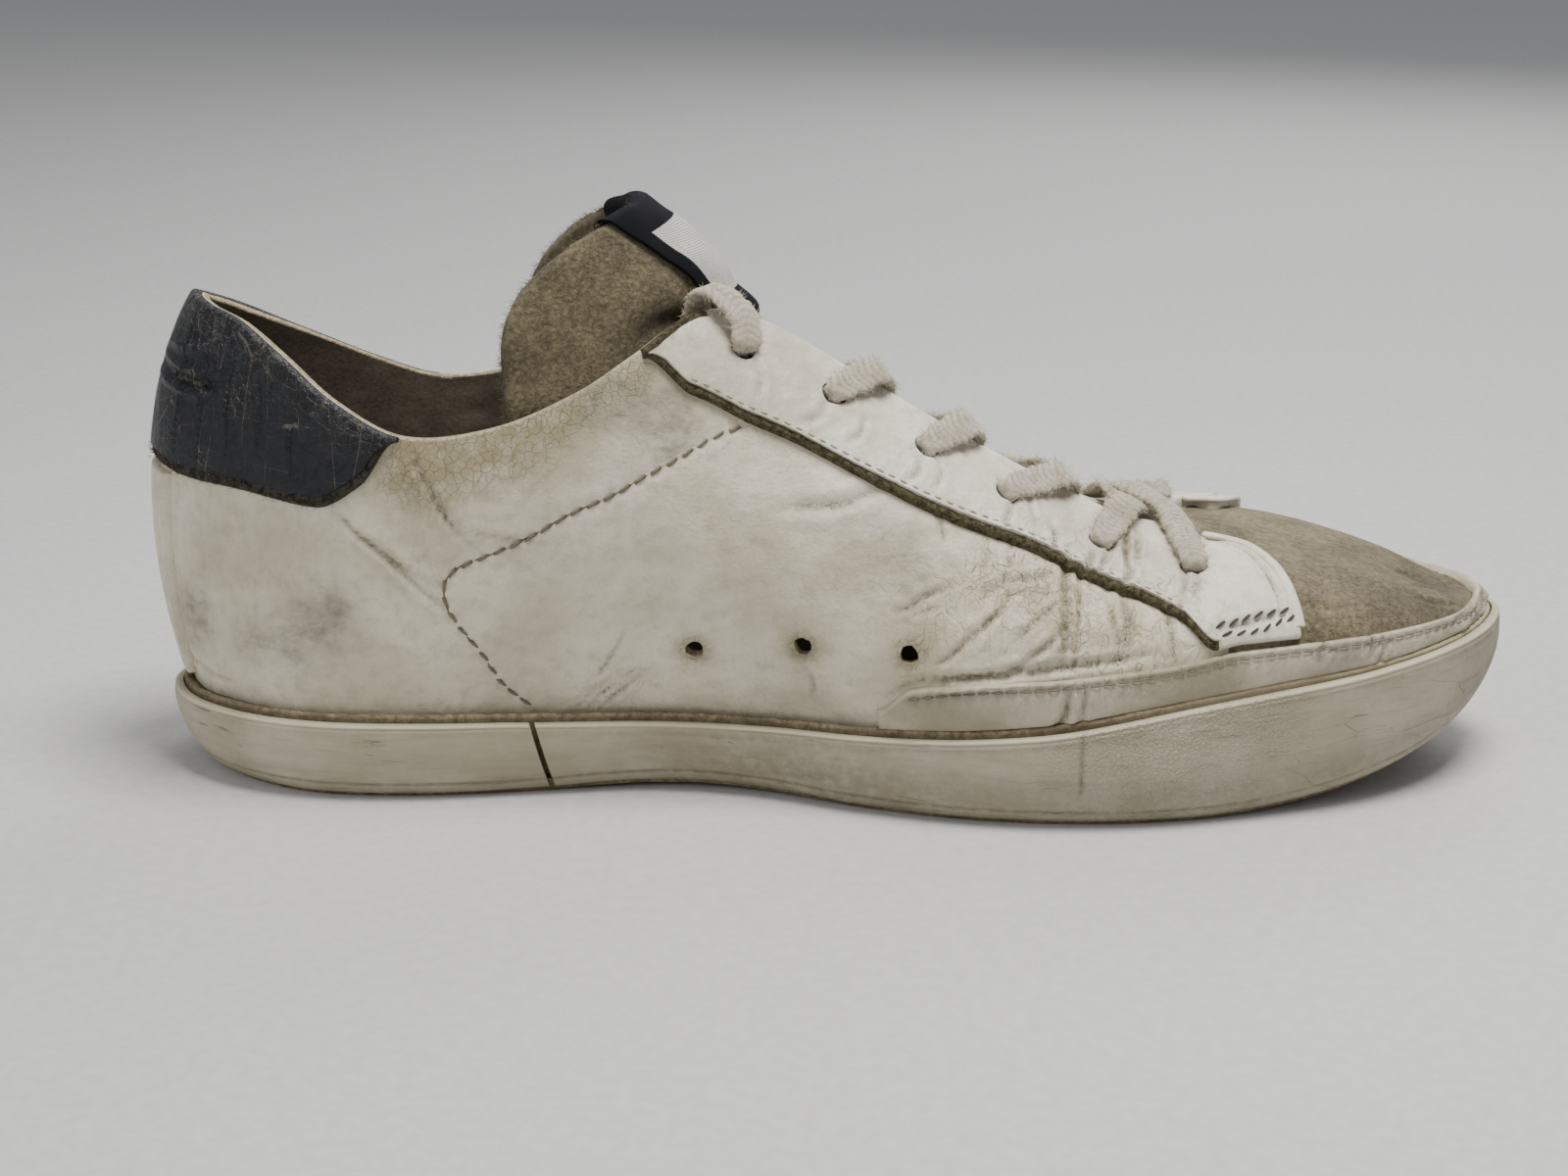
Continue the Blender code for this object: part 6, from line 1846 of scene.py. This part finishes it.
def make_seams():
    """Stitching of the quarter, eyestays and mudguard."""
    on_stay = OVERLAY_GAP + STAY_THICKNESS
    seam(
        "stitch_quarter", QUARTER_SEAM, -0.4 * MM, SEAM_PITCH, 3.2 * MM, 0.3 * MM,
        THREAD_DARK, "upper_leather", 0.22, 1.0, 0.24 * MM,
    )
    seam(
        "stitch_stay_low", offset_spots(EYESTAY, 1, 2.8 * MM, 8.6, 15.2), on_stay,
        2.6 * MM, 1.7 * MM, 0.17 * MM, THREAD, "eyestay_leather",
    )
    for i, spots in enumerate(FRONT_SEAMS):
        seam(
            f"stitch_stay_front_{i + 1}", spots, on_stay, 2.9 * MM, 2.6 * MM, 0.32 * MM,
            THREAD_BLACK, "eyestay_leather", 0.45,
        )
    seam(
        "stitch_guard", offset_spots(MUDGUARD, 2, GUARD_SEAM_INSET, 11.0, 21.2, 40),
        OVERLAY_GAP + GUARD_THICKNESS, GUARD_PITCH, 2.4 * MM, 0.2 * MM, THREAD_DARK,
        "mudguard_leather",
    )


def make_piping():
    """Raised strip along the eyestay's front edge."""
    parts = []
    for sign in (1, -1):
        placed = [(sign * row, share) for row, share in PIPING]
        line = route(placed, OVERLAY_GAP + STAY_THICKNESS, 20)
        facing = upper_normals_near(placed)(line)
        width = np.full(len(line), 2.4 * MM)
        width[:3] *= (0.3, 0.7, 0.95)
        parts.append(tube(line, facing, width, width * 0.5, sides=12, power=0.9))
    points, faces = joined(parts)
    masks = {key: np.zeros(len(points)) for key in ("grime_and_shade", "tan", "fold", "flex")}
    build("eyestay_piping", points, faces, (STAY_LEATHER,), None, masks, "eyestay_leather")


def add_edge_fluff():
    """Fibres along raw cut edges: eyestays, heel tab and tongue."""
    rng = np.random.default_rng(17)

    def along(spots, lift, count, scatter):
        line = route(spots, lift, 8)
        pick = rng.integers(0, len(line), count)
        roots = line[pick] + rng.normal(0, scatter, (count, 3))
        return roots, upper_normals_near(spots)(line)[pick]

    low = offset_spots(EYESTAY, 1, 0.9 * MM, 8.2, 15.5, 60)
    back = [(row, 0.985) for row in np.linspace(8.15, 9.2, 20)]
    edges = [
        along([(sign * r, s) for r, s in spots], 1.5 * MM, count, 0.45 * MM)
        for sign in (1, -1) for spots, count in ((low, 900), (back, 260))
    ]
    roots, out = (np.concatenate(part) for part in zip(*edges))
    olive = hairs(roots, out, 0.9 * MM, 0.05 * MM, 18)
    build("raw_edge_fluff", *olive, (RAW,), slot="eyestay_leather")
    spots = offset_spots(HEEL_TAB, 1, 1.2 * MM, -4.8, 4.8, 60)
    dark = hairs(*along(spots, 1.3 * MM, 1500, 0.5 * MM), 0.8 * MM, 0.06 * MM, 19)
    build("tab_edge_fluff", *dark, (RAW_DARK,), slot="heel_tab_leather")
    add_tongue_fluff(rng)


def add_tongue_fluff(rng, count=3000):
    """Fibres round the tongue's cut edge."""
    at = rng.uniform(5, TONGUE_TOP, count)
    side = np.where(rng.uniform(size=count) < 0.5, -1.0, 1.0)
    top = rng.uniform(size=count) < 0.35
    across = np.where(top, rng.uniform(-1, 1, count), side * 0.995)
    at = np.where(top, TONGUE_TOP, at)
    base = tongue_point(at, across)
    depth = rng.uniform(0.4, 3.6, count) * MM
    roots = base - tongue_normal(at, across) * depth[:, None]
    outward = unit(base - tongue_point(np.clip(at - 0.3, 0, None), across * 0.96))
    points, faces = hairs(roots, outward, 1.1 * MM, 0.05 * MM, 20)
    masks = {"grime_and_shade": np.zeros(len(points))}
    build("tongue_edge_fluff", points, faces, (TONGUE_SUEDE,), None, masks, "tongue_suede")


# Studio


def make_studio():
    """Camera, soft lights and a plain pale floor."""
    camera_data = bpy.data.cameras.new("camera")
    camera_data.lens = CAMERA_LENS
    camera_data.sensor_width = 36
    camera_data.clip_start = 0.01
    camera = linked("camera", camera_data)
    camera.location = CAMERA_PLACE
    camera.rotation_euler = (math.radians(90 - CAMERA_PITCH), 0, 0)
    bpy.context.scene.camera = camera
    for name, place, aim, size, power in LIGHTS:
        light = bpy.data.lights.new(name, "AREA")
        light.size = size
        light.energy = power
        light.color = LIGHT_COLOUR
        item = linked(name, light)
        item.location = place
        item.rotation_euler = (Vector(aim) - Vector(place)).to_track_quat("-Z", "Y").to_euler()
    world = bpy.data.worlds.new("studio")
    bpy.context.scene.world = world
    world.use_nodes = True
    sky = world.node_tree.nodes["Background"]
    sky.inputs["Color"].default_value = SKY_COLOUR
    sky.inputs["Strength"].default_value = SKY_STRENGTH
    look = Look("floor_pale", paint(196, 196, 196), 0.9, specular_ior_level=0.2)
    grain = look.noise(3, 3, 0.6)
    shade = look.mix(look.span(grain, 0.3, 0.7), paint(192, 192, 192), paint(200, 200, 200))
    look.set("Base Color", shade)
    r = FLOOR_REACH
    mesh = bpy.data.meshes.new("floor")
    mesh.from_pydata([(-r, -r, 0), (r, -r, 0), (r, r, 0), (-r, r, 0)], [], [(0, 1, 2, 3)])
    mesh.materials.append(look.bumps((grain, 0.05)))
    linked("floor", mesh)


def give_look(node, look):
    """Puts a node material on a solid that stays."""
    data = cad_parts[node].data
    data.materials.clear()
    data.materials.append(look)


make_studio()
make_upper()
make_overlays()
make_foxing()
make_midsole()
make_tongue()
make_label()
make_laces()
add_fluff()
make_seams()
make_piping()
add_edge_fluff()
give_look("outsole", LEDGE)
give_look("insole", FOOTBED)
